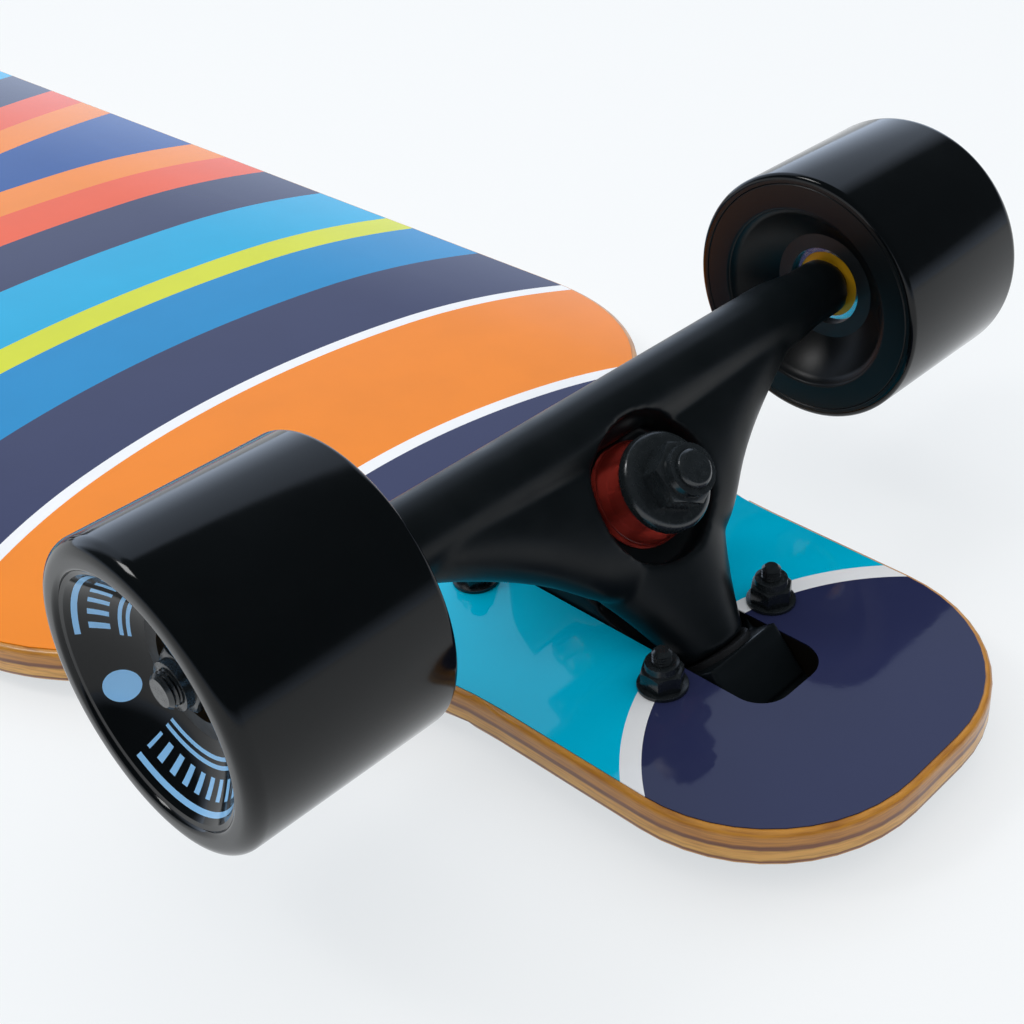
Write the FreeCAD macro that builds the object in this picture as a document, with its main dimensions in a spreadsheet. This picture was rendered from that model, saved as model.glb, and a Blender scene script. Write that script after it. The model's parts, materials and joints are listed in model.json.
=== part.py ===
"""A drop-through longboard, lying on its grip side with its wheels up.

Frame, in millimetres: +X runs along the board towards the front truck, +Z is up, and the origin is on the
surface that the board lies on, under the middle of the deck.  The board touches that surface with the
flanges of its two baseplates.

Each truck is drawn once and placed twice.  Its pieces are drawn in frames of their own:
  truck frame    origin under the middle of the four mounting bolts, +X towards the end of the board
  kingpin frame  origin at the middle of the hanger's ring, +Z along the kingpin towards its nut,
                 +X along the pivot axis towards the pivot cup
  pivot frame    origin at the mouth of the pivot cup, +Z along the pivot axis towards the ring
  axle frame     origin at the middle of the axle, +Z along the axle
  wheel frame    origin at the middle of the wheel's inner face, +Z towards its outer face
"""
import FreeCAD, Part
import math
import os

import Sketcher
from FreeCAD import Placement, Rotation, Vector

# Driving dimensions, in millimetres and degrees
SIZES = {
    # deck
    "deck_length": 980.0,
    "body_width": 243.0,
    "deck_thickness": 9.5,
    "nose_overhang": 94.0,
    "corner_reach": 102.0,
    "corner_radius": 86.0,
    "neck_reach": 41.0,
    "neck_radius": 113.0,
    "tongue_width": 107.0,
    "nose_width": 102.5,
    "nose_radius": 43.0,
    "edge_round": 1.5,
    "flat_width": 124.0,
    "concave_drop": 4.0,
    "print_thickness": 0.3,
    "print_inset": 1.7,
    "grip_thickness": 0.8,
    "grip_inset": 2.0,
    "grip_clearance": 1.0,
    "slot_width": 25.4,
    "slot_front": 56.0,
    "slot_rear": 34.0,
    "slot_corner": 8.0,
    # mounting bolts
    "bolt_spacing_long": 63.5,
    "bolt_spacing_wide": 41.3,
    "bolt_diameter": 4.8,
    "bolt_hole": 5.4,
    "bolt_length": 28.0,
    "bolt_head_diameter": 9.4,
    "bolt_head_height": 2.6,
    "bolt_head_sink": 0.2,
    "bolt_washer_diameter": 12.4,
    "bolt_washer_thickness": 1.0,
    "bolt_nut_flats": 9.5,
    "bolt_nut_height": 4.4,
    "bolt_nut_collar": 8.2,
    "bolt_nut_collar_height": 2.0,
    # baseplate
    "flange_thickness": 7.5,
    "flange_front": 64.0,
    "flange_rear": 44.0,
    "flange_width": 58.0,
    "flange_corner": 12.0,
    "block_clearance": 0.5,
    "block_crest": 14.0,
    "seat_up": 14.0,
    "seat_down": 12.5,
    "side_wall_rise": 1.0,
    "valley_reach": 15.0,
    "base_wall": 7.0,
    "head_pocket_clearance": 0.5,
    # truck geometry
    "pivot_angle": 50.0,
    "ring_offset": 2.4,
    "ring_rise": 28.5,
    "pivot_reach": 42.0,
    "axle_setback": 19.4,
    "axle_rake": 8.5,
    # pivot cup
    "pivot_diameter": 13.0,
    "pivot_length": 8.5,
    "pivot_clearance": 0.08,
    "cup_wall": 1.6,
    "cup_floor": 0.6,
    "cup_lip_overhang": 2.0,
    "cup_lip_thickness": 1.5,
    "boss_wall": 3.6,
    "boss_length": 14.5,
    "swing_clearance": 1.0,
    "swing_reach": 24.0,
    "swing_flare": 8.8,
    # kingpin, bushings and cup washers
    "kingpin_diameter": 9.5,
    "kingpin_clearance": 0.25,
    "kingpin_flats": 14.3,
    "kingpin_head_height": 6.0,
    "kingpin_nut_height": 6.4,
    "kingpin_nut_collar": 12.6,
    "kingpin_nut_collar_height": 2.6,
    "kingpin_stick_out": 1.6,
    "thread_chamfer": 0.8,
    "bushing_diameter": 26.4,
    "bushing_tip_diameter": 22.6,
    "bushing_height": 13.0,
    "bushing_lip": 3.2,
    "bushing_step": 0.8,
    "bushing_bevel": 1.6,
    "bushing_gap": 0.1,
    "washer_diameter": 24.6,
    "washer_thickness": 2.0,
    "washer_round": 1.2,
    # hanger
    "hanger_width": 180.0,
    "tube_diameter": 19.0,
    "tube_end_diameter": 16.0,
    "tube_end_length": 11.0,
    "tube_taper_length": 12.0,
    "ring_thickness": 10.0,
    "ring_hole": 16.0,
    "ring_wall": 3.5,
    "ring_skirt": 4.0,
    "recess_diameter": 36.0,
    "lower_recess_diameter": 29.0,
    "wing_thickness": 17.0,
    "wing_root": 18.0,
    "wing_tail": 3.8,
    "wing_drop": 4.5,
    "wing_end_inset": 2.0,
    "nose_gap": 0.4,
    "nose_tip_width": 20.0,
    "nose_tip_thickness": 17.2,
    "nose_root_width": 57.0,
    "nose_root_thickness": 22.0,
    "nose_root_lift": 2.5,
    "nose_length": 36.0,
    # axle hardware
    "axle_diameter": 8.0,
    "axle_reach": 36.0,
    "axle_clearance": 0.02,
    "axle_cover": 1.6,
    "speed_ring_diameter": 11.6,
    "speed_ring_thickness": 1.0,
    "axle_nut_flats": 12.8,
    "axle_nut_height": 5.6,
    "axle_nut_collar": 11.0,
    "axle_nut_collar_height": 1.9,
    # bearings
    "bearing_diameter": 22.0,
    "bearing_width": 7.0,
    "inner_ring_diameter": 11.8,
    "outer_ring_bore": 18.6,
    "ball_diameter": 3.969,
    "ball_pitch_diameter": 15.0,
    "ball_clearance": 0.08,
    "cage_thickness": 1.2,
    "shield_thickness": 0.4,
    "shield_sink": 0.3,
    "shield_gap": 0.3,
    "spacer_length": 10.0,
    "spacer_diameter": 10.6,
    # wheels
    "wheel_diameter": 70.0,
    "wheel_width": 51.0,
    "core_diameter": 30.0,
    "core_setback": 11.5,
    "core_collar": 1.7,
    "core_shoulder": 19.2,
    "core_outer_reach": 4.0,
    "bowl_diameter": 49.6,
    "dish_diameter": 57.0,
    "outer_lip_round": 3.6,
    "inner_lip_round": 1.4,
    "dish_round": 1.2,
}

# Places worked out from the driving dimensions
PLACES = {
    "truck_x": "sizes.deck_length / 2 - sizes.nose_overhang",
    "deck_under": "sizes.flange_thickness",
    "deck_top": "sizes.flange_thickness + sizes.deck_thickness",
    "deck_face": "deck_top + sizes.print_thickness",
    "cutter_height": "4 * deck_top",
    "diagonal_angle": "atan((sizes.body_width - sizes.tongue_width) / 2"
                      " / (sizes.corner_reach - sizes.neck_reach))",
    "inset_shift": "tan(diagonal_angle / 2)",
    "concave_run": "(sizes.body_width - sizes.flat_width) / 2",
    "concave_radius": "(concave_run ^ 2 + sizes.concave_drop ^ 2) / (2 * sizes.concave_drop)",
    "section_half": "sizes.body_width / 2 + sizes.deck_thickness",
    "section_drop": "concave_radius - sqrt(concave_radius ^ 2 - (section_half - sizes.flat_width / 2) ^ 2)",
    "ring_x": "truck_x + sizes.ring_offset",
    "ring_z": "deck_face + sizes.ring_rise",
    "pivot_u": "sizes.ring_offset + sizes.pivot_reach * cos(sizes.pivot_angle)",
    "pivot_x": "truck_x + pivot_u",
    "pivot_z": "ring_z - sizes.pivot_reach * sin(sizes.pivot_angle)",
    "axle_u": "sizes.ring_offset - sizes.axle_setback * cos(sizes.pivot_angle)"
              " + sizes.axle_rake * sin(sizes.pivot_angle)",
    "axle_x": "truck_x + axle_u",
    "axle_z": "ring_z + sizes.axle_setback * sin(sizes.pivot_angle)"
              " + sizes.axle_rake * cos(sizes.pivot_angle)",
    "bushing_seat": "sizes.ring_thickness / 2 + sizes.bushing_gap",
    "washer_seat": "bushing_seat + sizes.bushing_height",
    "base_seat": "washer_seat + sizes.washer_thickness",
    "head_seat": "base_seat + sizes.base_wall",
    "nut_top": "base_seat + sizes.kingpin_nut_height + sizes.kingpin_nut_collar_height",
    "kingpin_bore": "sizes.kingpin_diameter + 2 * sizes.kingpin_clearance",
    "seat_u": "sizes.ring_offset - base_seat * sin(sizes.pivot_angle)",
    "seat_z": "ring_z - base_seat * cos(sizes.pivot_angle)",
    "head_u": "sizes.ring_offset - head_seat * sin(sizes.pivot_angle)",
    "head_z": "ring_z - head_seat * cos(sizes.pivot_angle)",
    "head_half": "sizes.kingpin_flats / 2 / cos(30) + sizes.head_pocket_clearance",
    "head_room": "sizes.kingpin_head_height + sizes.head_pocket_clearance",
    "cup_bore": "sizes.pivot_diameter + 2 * sizes.pivot_clearance",
    "cup_outer": "cup_bore + 2 * sizes.cup_wall",
    "cup_lip": "cup_outer + 2 * sizes.cup_lip_overhang",
    "cup_depth": "sizes.pivot_length + sizes.nose_gap + sizes.cup_floor",
    "boss_width": "cup_outer + 2 * sizes.boss_wall",
    "swing_radius": "cup_lip / 2 + sizes.swing_clearance",
    "block_half": "sizes.slot_width / 2 - sizes.block_clearance",
    "ring_outer": "sizes.recess_diameter + 2 * sizes.ring_wall",
    "tube_front": "sizes.tube_diameter / 2 - sizes.axle_setback - sizes.wing_end_inset",
    "wing_rear": "-sizes.axle_setback - sizes.wing_tail",
    "wing_slope": "sizes.wing_drop / (sizes.wing_root - wing_rear)",
    "wing_span": "sizes.hanger_width / 2 - sizes.tube_end_length",
    "axle_half": "sizes.hanger_width / 2 + sizes.axle_reach",
    "bearing_1": "sizes.hanger_width / 2 + sizes.speed_ring_thickness",
    "spacer_1": "bearing_1 + sizes.bearing_width",
    "bearing_2": "spacer_1 + sizes.spacer_length",
    "bearing_end": "bearing_2 + sizes.bearing_width",
    "axle_nut_seat": "bearing_end + sizes.speed_ring_thickness",
    "wheel_inner_y": "bearing_1 - sizes.core_setback",
    "core_start": "sizes.core_setback - sizes.core_collar",
    "core_end": "sizes.core_setback + 2 * sizes.bearing_width + sizes.spacer_length + sizes.core_outer_reach",
    "bowl_centre": "((sizes.core_diameter / 2) ^ 2 - (sizes.bowl_diameter / 2) ^ 2 + core_start ^ 2)"
                   " / (2 * core_start)",
    "bowl_radius": "sqrt((sizes.bowl_diameter / 2) ^ 2 + bowl_centre ^ 2)",
    "dish_depth": "sizes.wheel_width - core_end",
    "dish_rise": "((sizes.dish_diameter / 2) ^ 2 - (sizes.core_diameter / 2) ^ 2 - dish_depth ^ 2)"
                 " / (2 * dish_depth)",
    "dish_radius": "sqrt((sizes.dish_diameter / 2) ^ 2 + dish_rise ^ 2)",
}

BALLS = 7
HEX = 6
# Shares of the way from the ring to the end of the wing, and of the nose from its tip to its root
WING_SHARES = (0.0, 0.16, 0.36, 0.58, 0.8, 1.0)
WING_SWEEP = 1.8
WING_FULLNESS = 0.96
NOSE_SHARES = (0.0, 0.33, 0.66, 1.0)
NOSE_SWEEP = 1.25
SIDES_OF_EDGE = (1, -1)
# Each end's sign along X and its turn about Z, and each side's sign along Y and its turn about X
ENDS = {"front": ("", "0"), "rear": ("-", "180")}
SIDES = {"left": ("", "-90"), "right": ("-", "90")}

doc = FreeCAD.newDocument("longboard")


def make_sheet(name, cells):
    """Adds a spreadsheet with one row for each name: the name in column A, its cell in column B."""
    sheet = doc.addObject("Spreadsheet::Sheet", name)
    for row, (alias, content) in enumerate(cells.items(), start=1):
        sheet.set(f"A{row}", alias)
        sheet.setAlias(f"B{row}", alias)
        sheet.set(f"B{row}", content)
    doc.recompute()
    return sheet


sizes = make_sheet("sizes", {alias: str(value) for alias, value in SIZES.items()})
places = make_sheet("places", {alias: "=" + formula for alias, formula in PLACES.items()})


def number(expression):
    """The present value of an expression in the sheets' names."""
    found = sizes.evalExpression(str(expression))
    return float(getattr(found, "Value", found))


def bind(obj, **expressions):
    """Ties properties of an object to expressions."""
    for prop, expression in expressions.items():
        if expression is not None:
            obj.setExpression(prop, str(expression))
    return obj


def at(x="0", y="0", z="0", yaw="0", pitch="0", roll="0"):
    """The expression of a placement: a point, then turns about Z, Y and X."""
    return f"placement(vector({x}; {y}; {z}); rotation({yaw}; {pitch}; {roll}))"


def solid(kind, name, where=None, **expressions):
    """A Part primitive whose sizes and place are tied to expressions."""
    obj = doc.addObject(f"Part::{kind}", name)
    return bind(obj, Placement=where, **expressions)


def cylinder(name, diameter, height, where=None):
    """A cylinder on its own Z axis."""
    return solid("Cylinder", name, where, Radius=f"({diameter}) / 2", Height=height)


def fuse(name, *pieces, where=None):
    """The union of several pieces."""
    obj = doc.addObject("Part::MultiFuse", name)
    obj.Shapes = list(pieces)
    return bind(obj, Placement=where)


def join(name, base, *pieces):
    """The union of freely curved pieces, taken one after another with their faces left unmerged."""
    for count, piece in enumerate(pieces, start=1):
        obj = doc.addObject("Part::Fuse", name if count == len(pieces) else f"{name}_join_{count}")
        obj.Base = base
        obj.Tool = piece
        obj.Refine = False
        base = obj
    return base


def cut(name, base, *tools, refine=True):
    """The base with each tool taken away."""
    for count, tool in enumerate(tools, start=1):
        obj = doc.addObject("Part::Cut", name if count == len(tools) else f"{name}_cut_{count}")
        obj.Base = base
        obj.Tool = tool
        obj.Refine = refine
        base = obj
    return base


def common(name, first, second):
    """What two pieces share."""
    obj = doc.addObject("Part::Common", name)
    obj.Base = first
    obj.Tool = second
    return obj


def group(name, pieces, where=None):
    """Pieces kept as separate solids of one object."""
    obj = doc.addObject("Part::Compound", name)
    obj.Links = list(pieces)
    return bind(obj, Placement=where)


def tube(name, outer, inner, height, where=None):
    """A round sleeve on its own Z axis, placed as a whole."""
    sleeve = cut(f"{name}_sleeve", cylinder(f"{name}_outside", outer, height),
                 cylinder(f"{name}_bore", inner, height))
    return group(name, [sleeve], where)


def tie(obj, kind, geometry, point, expression):
    """Holds a sketch point's distance from the sketch's origin to an expression."""
    value = number(expression)
    index = obj.addConstraint(Sketcher.Constraint(kind, -1, 1, geometry, point, value))
    name = f"{kind}_{geometry}_{point}"
    obj.renameConstraint(index, name)
    obj.setExpression(f"Constraints.{name}", str(expression))


def arc_about(centre, start, end):
    """The arc about a centre, and whether it runs counter-clockwise from start to end."""
    first = math.atan2(start.y - centre.y, start.x - centre.x)
    last = math.atan2(end.y - centre.y, end.x - centre.x)
    forward = (last - first) % math.tau < math.pi
    circle = Part.Circle(centre, Vector(0, 0, 1), (start - centre).Length)
    angles = (first, last) if forward else (last, first)
    return Part.ArcOfCircle(circle, *angles), forward


PLANES = {"XY": Rotation(), "XZ": Rotation(Vector(1, 0, 0), 90), "YZ": Rotation(Vector(1, 1, 1), 120)}
# A sketch counts the points of a run from one
START, END, CENTRE = range(1, 4)


def outline(name, corners, plane="XY", centres=None):
    """A closed sketch through corners that are pairs of expressions.

    centres maps a corner's index to the centre of the arc that leaves it. The other runs are straight.
    """
    centres = centres or {}
    obj = doc.addObject("Sketcher::SketchObject", name)
    obj.Placement = Placement(Vector(), PLANES[plane])
    points = [Vector(number(x), number(y), 0) for x, y in corners]
    tips = []
    for index, start in enumerate(points):
        end = points[(index + 1) % len(points)]
        run = Part.LineSegment(start, end)
        forward = True
        if index in centres:
            middle = Vector(*(number(value) for value in centres[index]), 0)
            run, forward = arc_about(middle, start, end)
        obj.addGeometry(run)
        tips.append((START, END) if forward else (END, START))
    for index in range(len(points)):
        after = (index + 1) % len(points)
        obj.addConstraint(Sketcher.Constraint("Coincident", index, tips[index][1], after, tips[after][0]))
    for index, middle in centres.items():
        tie(obj, "DistanceX", index, CENTRE, middle[0])
        tie(obj, "DistanceY", index, CENTRE, middle[1])
    for index, (x, y) in enumerate(corners):
        tie(obj, "DistanceX", index, tips[index][0], x)
        if (index - 1) % len(points) not in centres:
            tie(obj, "DistanceY", index, tips[index][0], y)
    return obj


def prism(name, sketch, length, symmetric=False):
    """A sketch drawn out along its normal."""
    obj = doc.addObject("Part::Extrusion", name)
    obj.Base = sketch
    obj.DirMode = "Normal"
    obj.Solid = True
    obj.Symmetric = symmetric
    return bind(obj, LengthFwd=length)


def turned(name, corners, where=None):
    """A solid turned about its own Z axis from corners that are pairs of radius and height."""
    obj = doc.addObject("Part::Revolution", name)
    obj.Source = outline(f"{name}_profile", corners, "XZ")
    obj.Axis = Vector(0, 0, 1)
    obj.Angle = 360
    obj.Solid = True
    return bind(obj, Placement=where)


def rounded(name, base, *picks):
    """Rounds the edges that each pick's test accepts by that pick's radius."""
    doc.recompute()
    edges = []
    for accepts, radius in picks:
        found = [index for index, edge in enumerate(base.Shape.Edges, start=1) if accepts(edge, base.Shape)]
        if not found:
            raise RuntimeError(f"no edge to round on {name}")
        edges += [(index, number(radius), number(radius)) for index in found]
    obj = doc.addObject("Part::Fillet", name)
    obj.Base = base
    obj.Edges = edges
    return obj


def upright_near(x):
    """Accepts upright edges whose distance from the middle along X is the given one."""
    target = number(x)

    def accepts(edge, _shape):
        low, high = edge.Vertexes[0].Point, edge.Vertexes[-1].Point
        upright = abs(low.x - high.x) + abs(low.y - high.y) < 0.01 < abs(low.z - high.z)
        return upright and abs(abs(low.x) - target) < 0.5

    return accepts


def ring_at(diameter, height):
    """Accepts full circles about Z of a given diameter and height."""
    radius = number(diameter) / 2
    level = number(height)

    def accepts(edge, _shape):
        box = edge.BoundBox
        return abs(box.XMax - radius) < 0.2 and abs(box.ZMin - level) < 0.2 and box.ZLength < 0.01

    return accepts


def skin_rim(edge, shape):
    """Accepts the edges where a sheet's upper or lower skin meets its side wall."""
    tilts = []
    for face in shape.ancestorsOfType(edge, Part.Face):
        u_low, u_high, v_low, v_high = face.ParameterRange
        tilts.append(abs(face.normalAt((u_low + u_high) / 2, (v_low + v_high) / 2).z))
    return min(tilts) < 0.2 and max(tilts) > 0.8


def hex_nut(name, flats, height, collar, collar_height, bore, where=None):
    """A lock nut: a hexagon with its upper corners turned off, a round collar and a through hole."""
    radius = f"({flats}) / 2 / cos(30)"
    block = solid("Prism", f"{name}_hexagon", Circumradius=radius, Height=height)
    block.Polygon = HEX
    trim = solid("Cone", f"{name}_trim", Height=height, Radius2=f"({flats}) / 2",
                 Radius1=f"({flats}) / 2 + ({height}) / tan(30)")
    body = fuse(f"{name}_body", common(f"{name}_trimmed", block, trim),
                cylinder(f"{name}_collar", collar, collar_height, at(z=height)))
    drilled = cut(f"{name}_drilled", body, cylinder(f"{name}_hole", bore, f"({height}) + ({collar_height})"))
    return group(name, [drilled], where)


def truck_frame(end):
    sign, yaw = ENDS[end]
    return at(f"{sign}places.truck_x", yaw=yaw)


def kingpin_frame(end):
    sign, yaw = ENDS[end]
    return at(f"{sign}places.ring_x", z="places.ring_z", yaw=yaw, pitch="sizes.pivot_angle")


def pivot_frame(end):
    sign, yaw = ENDS[end]
    return at(f"{sign}places.pivot_x", z="places.pivot_z", yaw=yaw, pitch="sizes.pivot_angle - 90")


def axle_frame(end):
    sign, _yaw = ENDS[end]
    return at(f"{sign}places.axle_x", z="places.axle_z", roll="-90")


def wheel_frame(end, side):
    sign, _yaw = ENDS[end]
    across, roll = SIDES[side]
    return at(f"{sign}places.axle_x", f"{across}places.wheel_inner_y", "places.axle_z", roll=roll)


def bolt_points():
    """The four mounting bolts' places in the truck frame, as expressions."""
    return [(f"{x} * sizes.bolt_spacing_long / 2", f"{y} * sizes.bolt_spacing_wide / 2")
            for x in SIDES_OF_EDGE for y in SIDES_OF_EDGE]


def four_of(name, piece, z="0"):
    """A copy of a piece at each mounting bolt, in the truck frame."""
    return [group(f"{name}_{index}", [piece], at(x, y, z)) for index, (x, y) in enumerate(bolt_points())]


# Deck

def deck_corners(inset):
    """The deck's twelve corners before rounding, drawn in by an inset."""
    shift = f"({inset}) * places.inset_shift"
    quarter = [
        (f"places.truck_x - sizes.corner_reach - {shift}", f"sizes.body_width / 2 - ({inset})"),
        (f"places.truck_x - sizes.neck_reach - {shift}", f"sizes.tongue_width / 2 - ({inset})"),
        (f"sizes.deck_length / 2 - ({inset})", f"sizes.nose_width / 2 - ({inset})"),
    ]
    corners = []
    for x_sign, y_sign in ((1, 1), (1, -1), (-1, -1), (-1, 1)):
        turn = quarter if x_sign == y_sign else quarter[::-1]
        corners += [(f"{x_sign} * ({x})", f"{y_sign} * ({y})") for x, y in turn]
    return corners


def deck_plan(name, inset):
    """The deck's plan, drawn in by an inset, as a tall prism with its corners rounded."""
    corners = deck_corners(inset)
    tall = prism(f"{name}_tall", outline(f"{name}_plan", corners), "places.cutter_height")
    bend, neck, tip = (corner[0] for corner in corners[:3])
    return rounded(f"{name}_round", tall,
                   (upright_near(bend), f"sizes.corner_radius - ({inset})"),
                   (upright_near(neck), f"sizes.neck_radius + ({inset})"),
                   (upright_near(tip), f"sizes.nose_radius - ({inset})"))


def deck_layer(name, inset, low, high):
    """A layer of the deck between two heights: flat in the middle, with its long sides curved down."""
    flat = "sizes.flat_width / 2"
    half = "places.section_half"
    high_edge = f"{high} - places.section_drop"
    low_edge = f"{low} - places.section_drop"
    high_centre = f"{high} - places.concave_radius"
    low_centre = f"{low} - places.concave_radius"
    corners = [(f"-{flat}", high), (flat, high), (half, high_edge), (half, low_edge),
               (flat, low), (f"-{flat}", low), (f"-{half}", low_edge), (f"-{half}", high_edge)]
    centres = {1: (flat, high_centre), 3: (flat, low_centre),
               5: (f"-{flat}", low_centre), 7: (f"-{flat}", high_centre)}
    section = prism(f"{name}_section", outline(f"{name}_curve", corners, "YZ", centres),
                    "sizes.deck_length + 2 * sizes.deck_thickness", symmetric=True)
    return common(f"{name}_layer", deck_plan(name, inset), section)


def both_ends(name, tool):
    """A tool of the truck frame at both ends of the board."""
    return [group(f"{end}_{name}", [tool], truck_frame(end)) for end in ENDS]


def plate(name, rear, front, width, corner, height):
    """A flat plate of the truck frame with rounded corners."""
    half = f"({width}) / 2"
    corners = [(front, half), (f"-({rear})", half), (f"-({rear})", f"-{half}"), (front, f"-{half}")]
    slab = prism(f"{name}_slab", outline(f"{name}_plan", corners), height)
    return rounded(name, slab, (upright_near(front), corner), (upright_near(rear), corner))


slot_tool = plate("slot_tool", "sizes.slot_rear", "sizes.slot_front", "sizes.slot_width", "sizes.slot_corner",
                  "places.cutter_height")
hole_tool = group("hole_tool", four_of("hole", cylinder("hole", "sizes.bolt_hole", "places.cutter_height")))
flange_tool = plate("flange_tool", "sizes.flange_rear + sizes.grip_clearance",
                    "sizes.flange_front + sizes.grip_clearance",
                    "sizes.flange_width + 2 * sizes.grip_clearance",
                    "sizes.flange_corner + sizes.grip_clearance", "places.cutter_height")
slots = both_ends("slot_tool", slot_tool)
holes = both_ends("hole_tool", hole_tool)

wood = rounded("wood", deck_layer("wood", "0", "places.deck_under", "places.deck_top"),
               (skin_rim, "sizes.edge_round"))
deck_board = cut("deck_board", wood, *slots, *holes)
film = deck_layer("film", "sizes.print_inset", "places.deck_top", "places.deck_face")
print_sheet = cut("print_sheet", film, *slots, *holes)
grip_low = "places.deck_under - sizes.grip_thickness"
grip = deck_layer("grip", "sizes.grip_inset", grip_low, "places.deck_under")
grip_sheet = cut("grip_sheet", grip, *both_ends("flange_tool", flange_tool))


# Baseplate, in the truck frame

def side_point(u, z, along="0", down="0"):
    """A point of the truck's middle plane, moved along the pivot axis and down the kingpin."""
    return (f"{u} - ({along}) * cos(sizes.pivot_angle) - ({down}) * sin(sizes.pivot_angle)",
            f"{z} + ({along}) * sin(sizes.pivot_angle) - ({down}) * cos(sizes.pivot_angle)")


block_rear = "-(sizes.slot_rear - sizes.block_clearance)"
block_front = "sizes.slot_front - sizes.slot_corner - sizes.block_clearance"
wall_top = "places.deck_face + sizes.side_wall_rise"
block_corners = [
    (block_rear, "sizes.flange_thickness / 2"),
    (block_front, "sizes.flange_thickness / 2"),
    ("places.pivot_u", wall_top),
    ("sizes.valley_reach", wall_top),
    side_point("places.seat_u", "places.seat_z", along="-sizes.seat_down"),
    side_point("places.seat_u", "places.seat_z", along="sizes.seat_up"),
    (block_rear, "places.deck_face + sizes.block_crest"),
]
head_rear = side_point("places.head_u", "places.head_z", "places.head_half", "places.head_room")
head_upper = side_point("places.head_u", "places.head_z", "places.head_half")
head_lower = side_point("places.head_u", "places.head_z", "-places.head_half")
pocket_low = "-sizes.flange_thickness"
pocket_corners = [(head_rear[0], pocket_low), (head_lower[0], pocket_low), head_lower, head_upper, head_rear]

flange = plate("flange", "sizes.flange_rear", "sizes.flange_front", "sizes.flange_width",
               "sizes.flange_corner", "sizes.flange_thickness")
block_plan = plate("block_plan", "sizes.slot_rear - sizes.block_clearance",
                   "sizes.slot_front - sizes.block_clearance", "2 * places.block_half",
                   "sizes.slot_corner - sizes.block_clearance", "places.cutter_height")
block_side = prism("block_side", outline("block_side_view", block_corners, "XZ"), "2 * places.block_half",
                   symmetric=True)
block = common("block", block_side, block_plan)
head_pocket = prism("head_pocket", outline("pocket_side", pocket_corners, "XZ"), "2 * places.head_half",
                    symmetric=True)
pivot_place = at("places.pivot_u", z="places.pivot_z", pitch="sizes.pivot_angle - 90")
boss_drop = "-(sizes.cup_lip_thickness + sizes.boss_length)"
boss_square = solid("Box", "boss_square", at("-places.boss_width / 2", "-places.block_half", boss_drop),
                    Length="places.boss_width", Width="2 * places.block_half", Height="sizes.boss_length")
boss = common("boss", group("boss_turned", [boss_square], pivot_place), block_plan)
swing_room = solid("Cone", "swing_room", at(z="-sizes.cup_lip_thickness"), Radius1="places.swing_radius",
                   Radius2="places.swing_radius + sizes.swing_flare", Height="sizes.swing_reach")
cup_hole = cylinder("cup_hole", "places.cup_outer", "places.cup_depth", at(z="-places.cup_depth"))
pivot_room = fuse("pivot_room", swing_room, cup_hole, where=pivot_place)
kingpin_hole = cylinder("kingpin_hole", "places.kingpin_bore", "2 * places.head_seat",
                        at("sizes.ring_offset - 2 * places.head_seat * sin(sizes.pivot_angle)",
                           z="places.ring_z - 2 * places.head_seat * cos(sizes.pivot_angle)",
                           pitch="sizes.pivot_angle"))
below_floor = solid("Box", "below_floor",
                    at("-sizes.flange_rear", "-sizes.flange_width / 2", "-places.deck_top"),
                    Length="sizes.flange_rear + sizes.flange_front", Width="sizes.flange_width",
                    Height="places.deck_top")
countersink = solid("Cone", "countersink", Radius1="sizes.bolt_head_diameter / 2 + sizes.bolt_head_sink",
                    Radius2="sizes.bolt_hole / 2", Height="sizes.bolt_head_height + sizes.bolt_head_sink")
sinks = group("sinks", four_of("sink", countersink))
baseplate = cut("baseplate", fuse("baseplate_body", flange, block, boss), below_floor, head_pocket,
                pivot_room, kingpin_hole, hole_tool, sinks)

# Mounting bolts, in the truck frame

bolt = turned("bolt", [
    ("0", "sizes.bolt_head_sink"),
    ("sizes.bolt_head_diameter / 2", "sizes.bolt_head_sink"),
    ("sizes.bolt_diameter / 2", "sizes.bolt_head_sink + sizes.bolt_head_height"),
    ("sizes.bolt_diameter / 2", "sizes.bolt_head_sink + sizes.bolt_length - sizes.thread_chamfer"),
    ("sizes.bolt_diameter / 2 - sizes.thread_chamfer", "sizes.bolt_head_sink + sizes.bolt_length"),
    ("0", "sizes.bolt_head_sink + sizes.bolt_length"),
])
bolt_washer = tube("bolt_washer", "sizes.bolt_washer_diameter", "sizes.bolt_hole",
                   "sizes.bolt_washer_thickness")
bolt_nut = hex_nut("bolt_nut", "sizes.bolt_nut_flats", "sizes.bolt_nut_height", "sizes.bolt_nut_collar",
                   "sizes.bolt_nut_collar_height", "sizes.bolt_diameter")
nut_level = "places.deck_face + sizes.bolt_washer_thickness"

# Kingpin, bushings and cup washers, in the kingpin frame

kingpin_head = solid("Prism", "kingpin_head", at(z="-places.head_seat - sizes.kingpin_head_height"),
                     Circumradius="sizes.kingpin_flats / 2 / cos(30)", Height="sizes.kingpin_head_height")
kingpin_head.Polygon = HEX
kingpin_tip = "places.nut_top + sizes.kingpin_stick_out"
kingpin_shank = turned("kingpin_shank", [
    ("0", "-places.head_seat"),
    ("sizes.kingpin_diameter / 2", "-places.head_seat"),
    ("sizes.kingpin_diameter / 2", f"{kingpin_tip} - sizes.thread_chamfer"),
    ("sizes.kingpin_diameter / 2 - sizes.thread_chamfer", kingpin_tip),
    ("0", kingpin_tip),
])
kingpin = fuse("kingpin", kingpin_head, kingpin_shank)
kingpin_nut = hex_nut("kingpin_nut", "sizes.kingpin_flats", "sizes.kingpin_nut_height",
                      "sizes.kingpin_nut_collar", "sizes.kingpin_nut_collar_height",
                      "sizes.kingpin_diameter", at(z="places.base_seat"))

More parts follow.
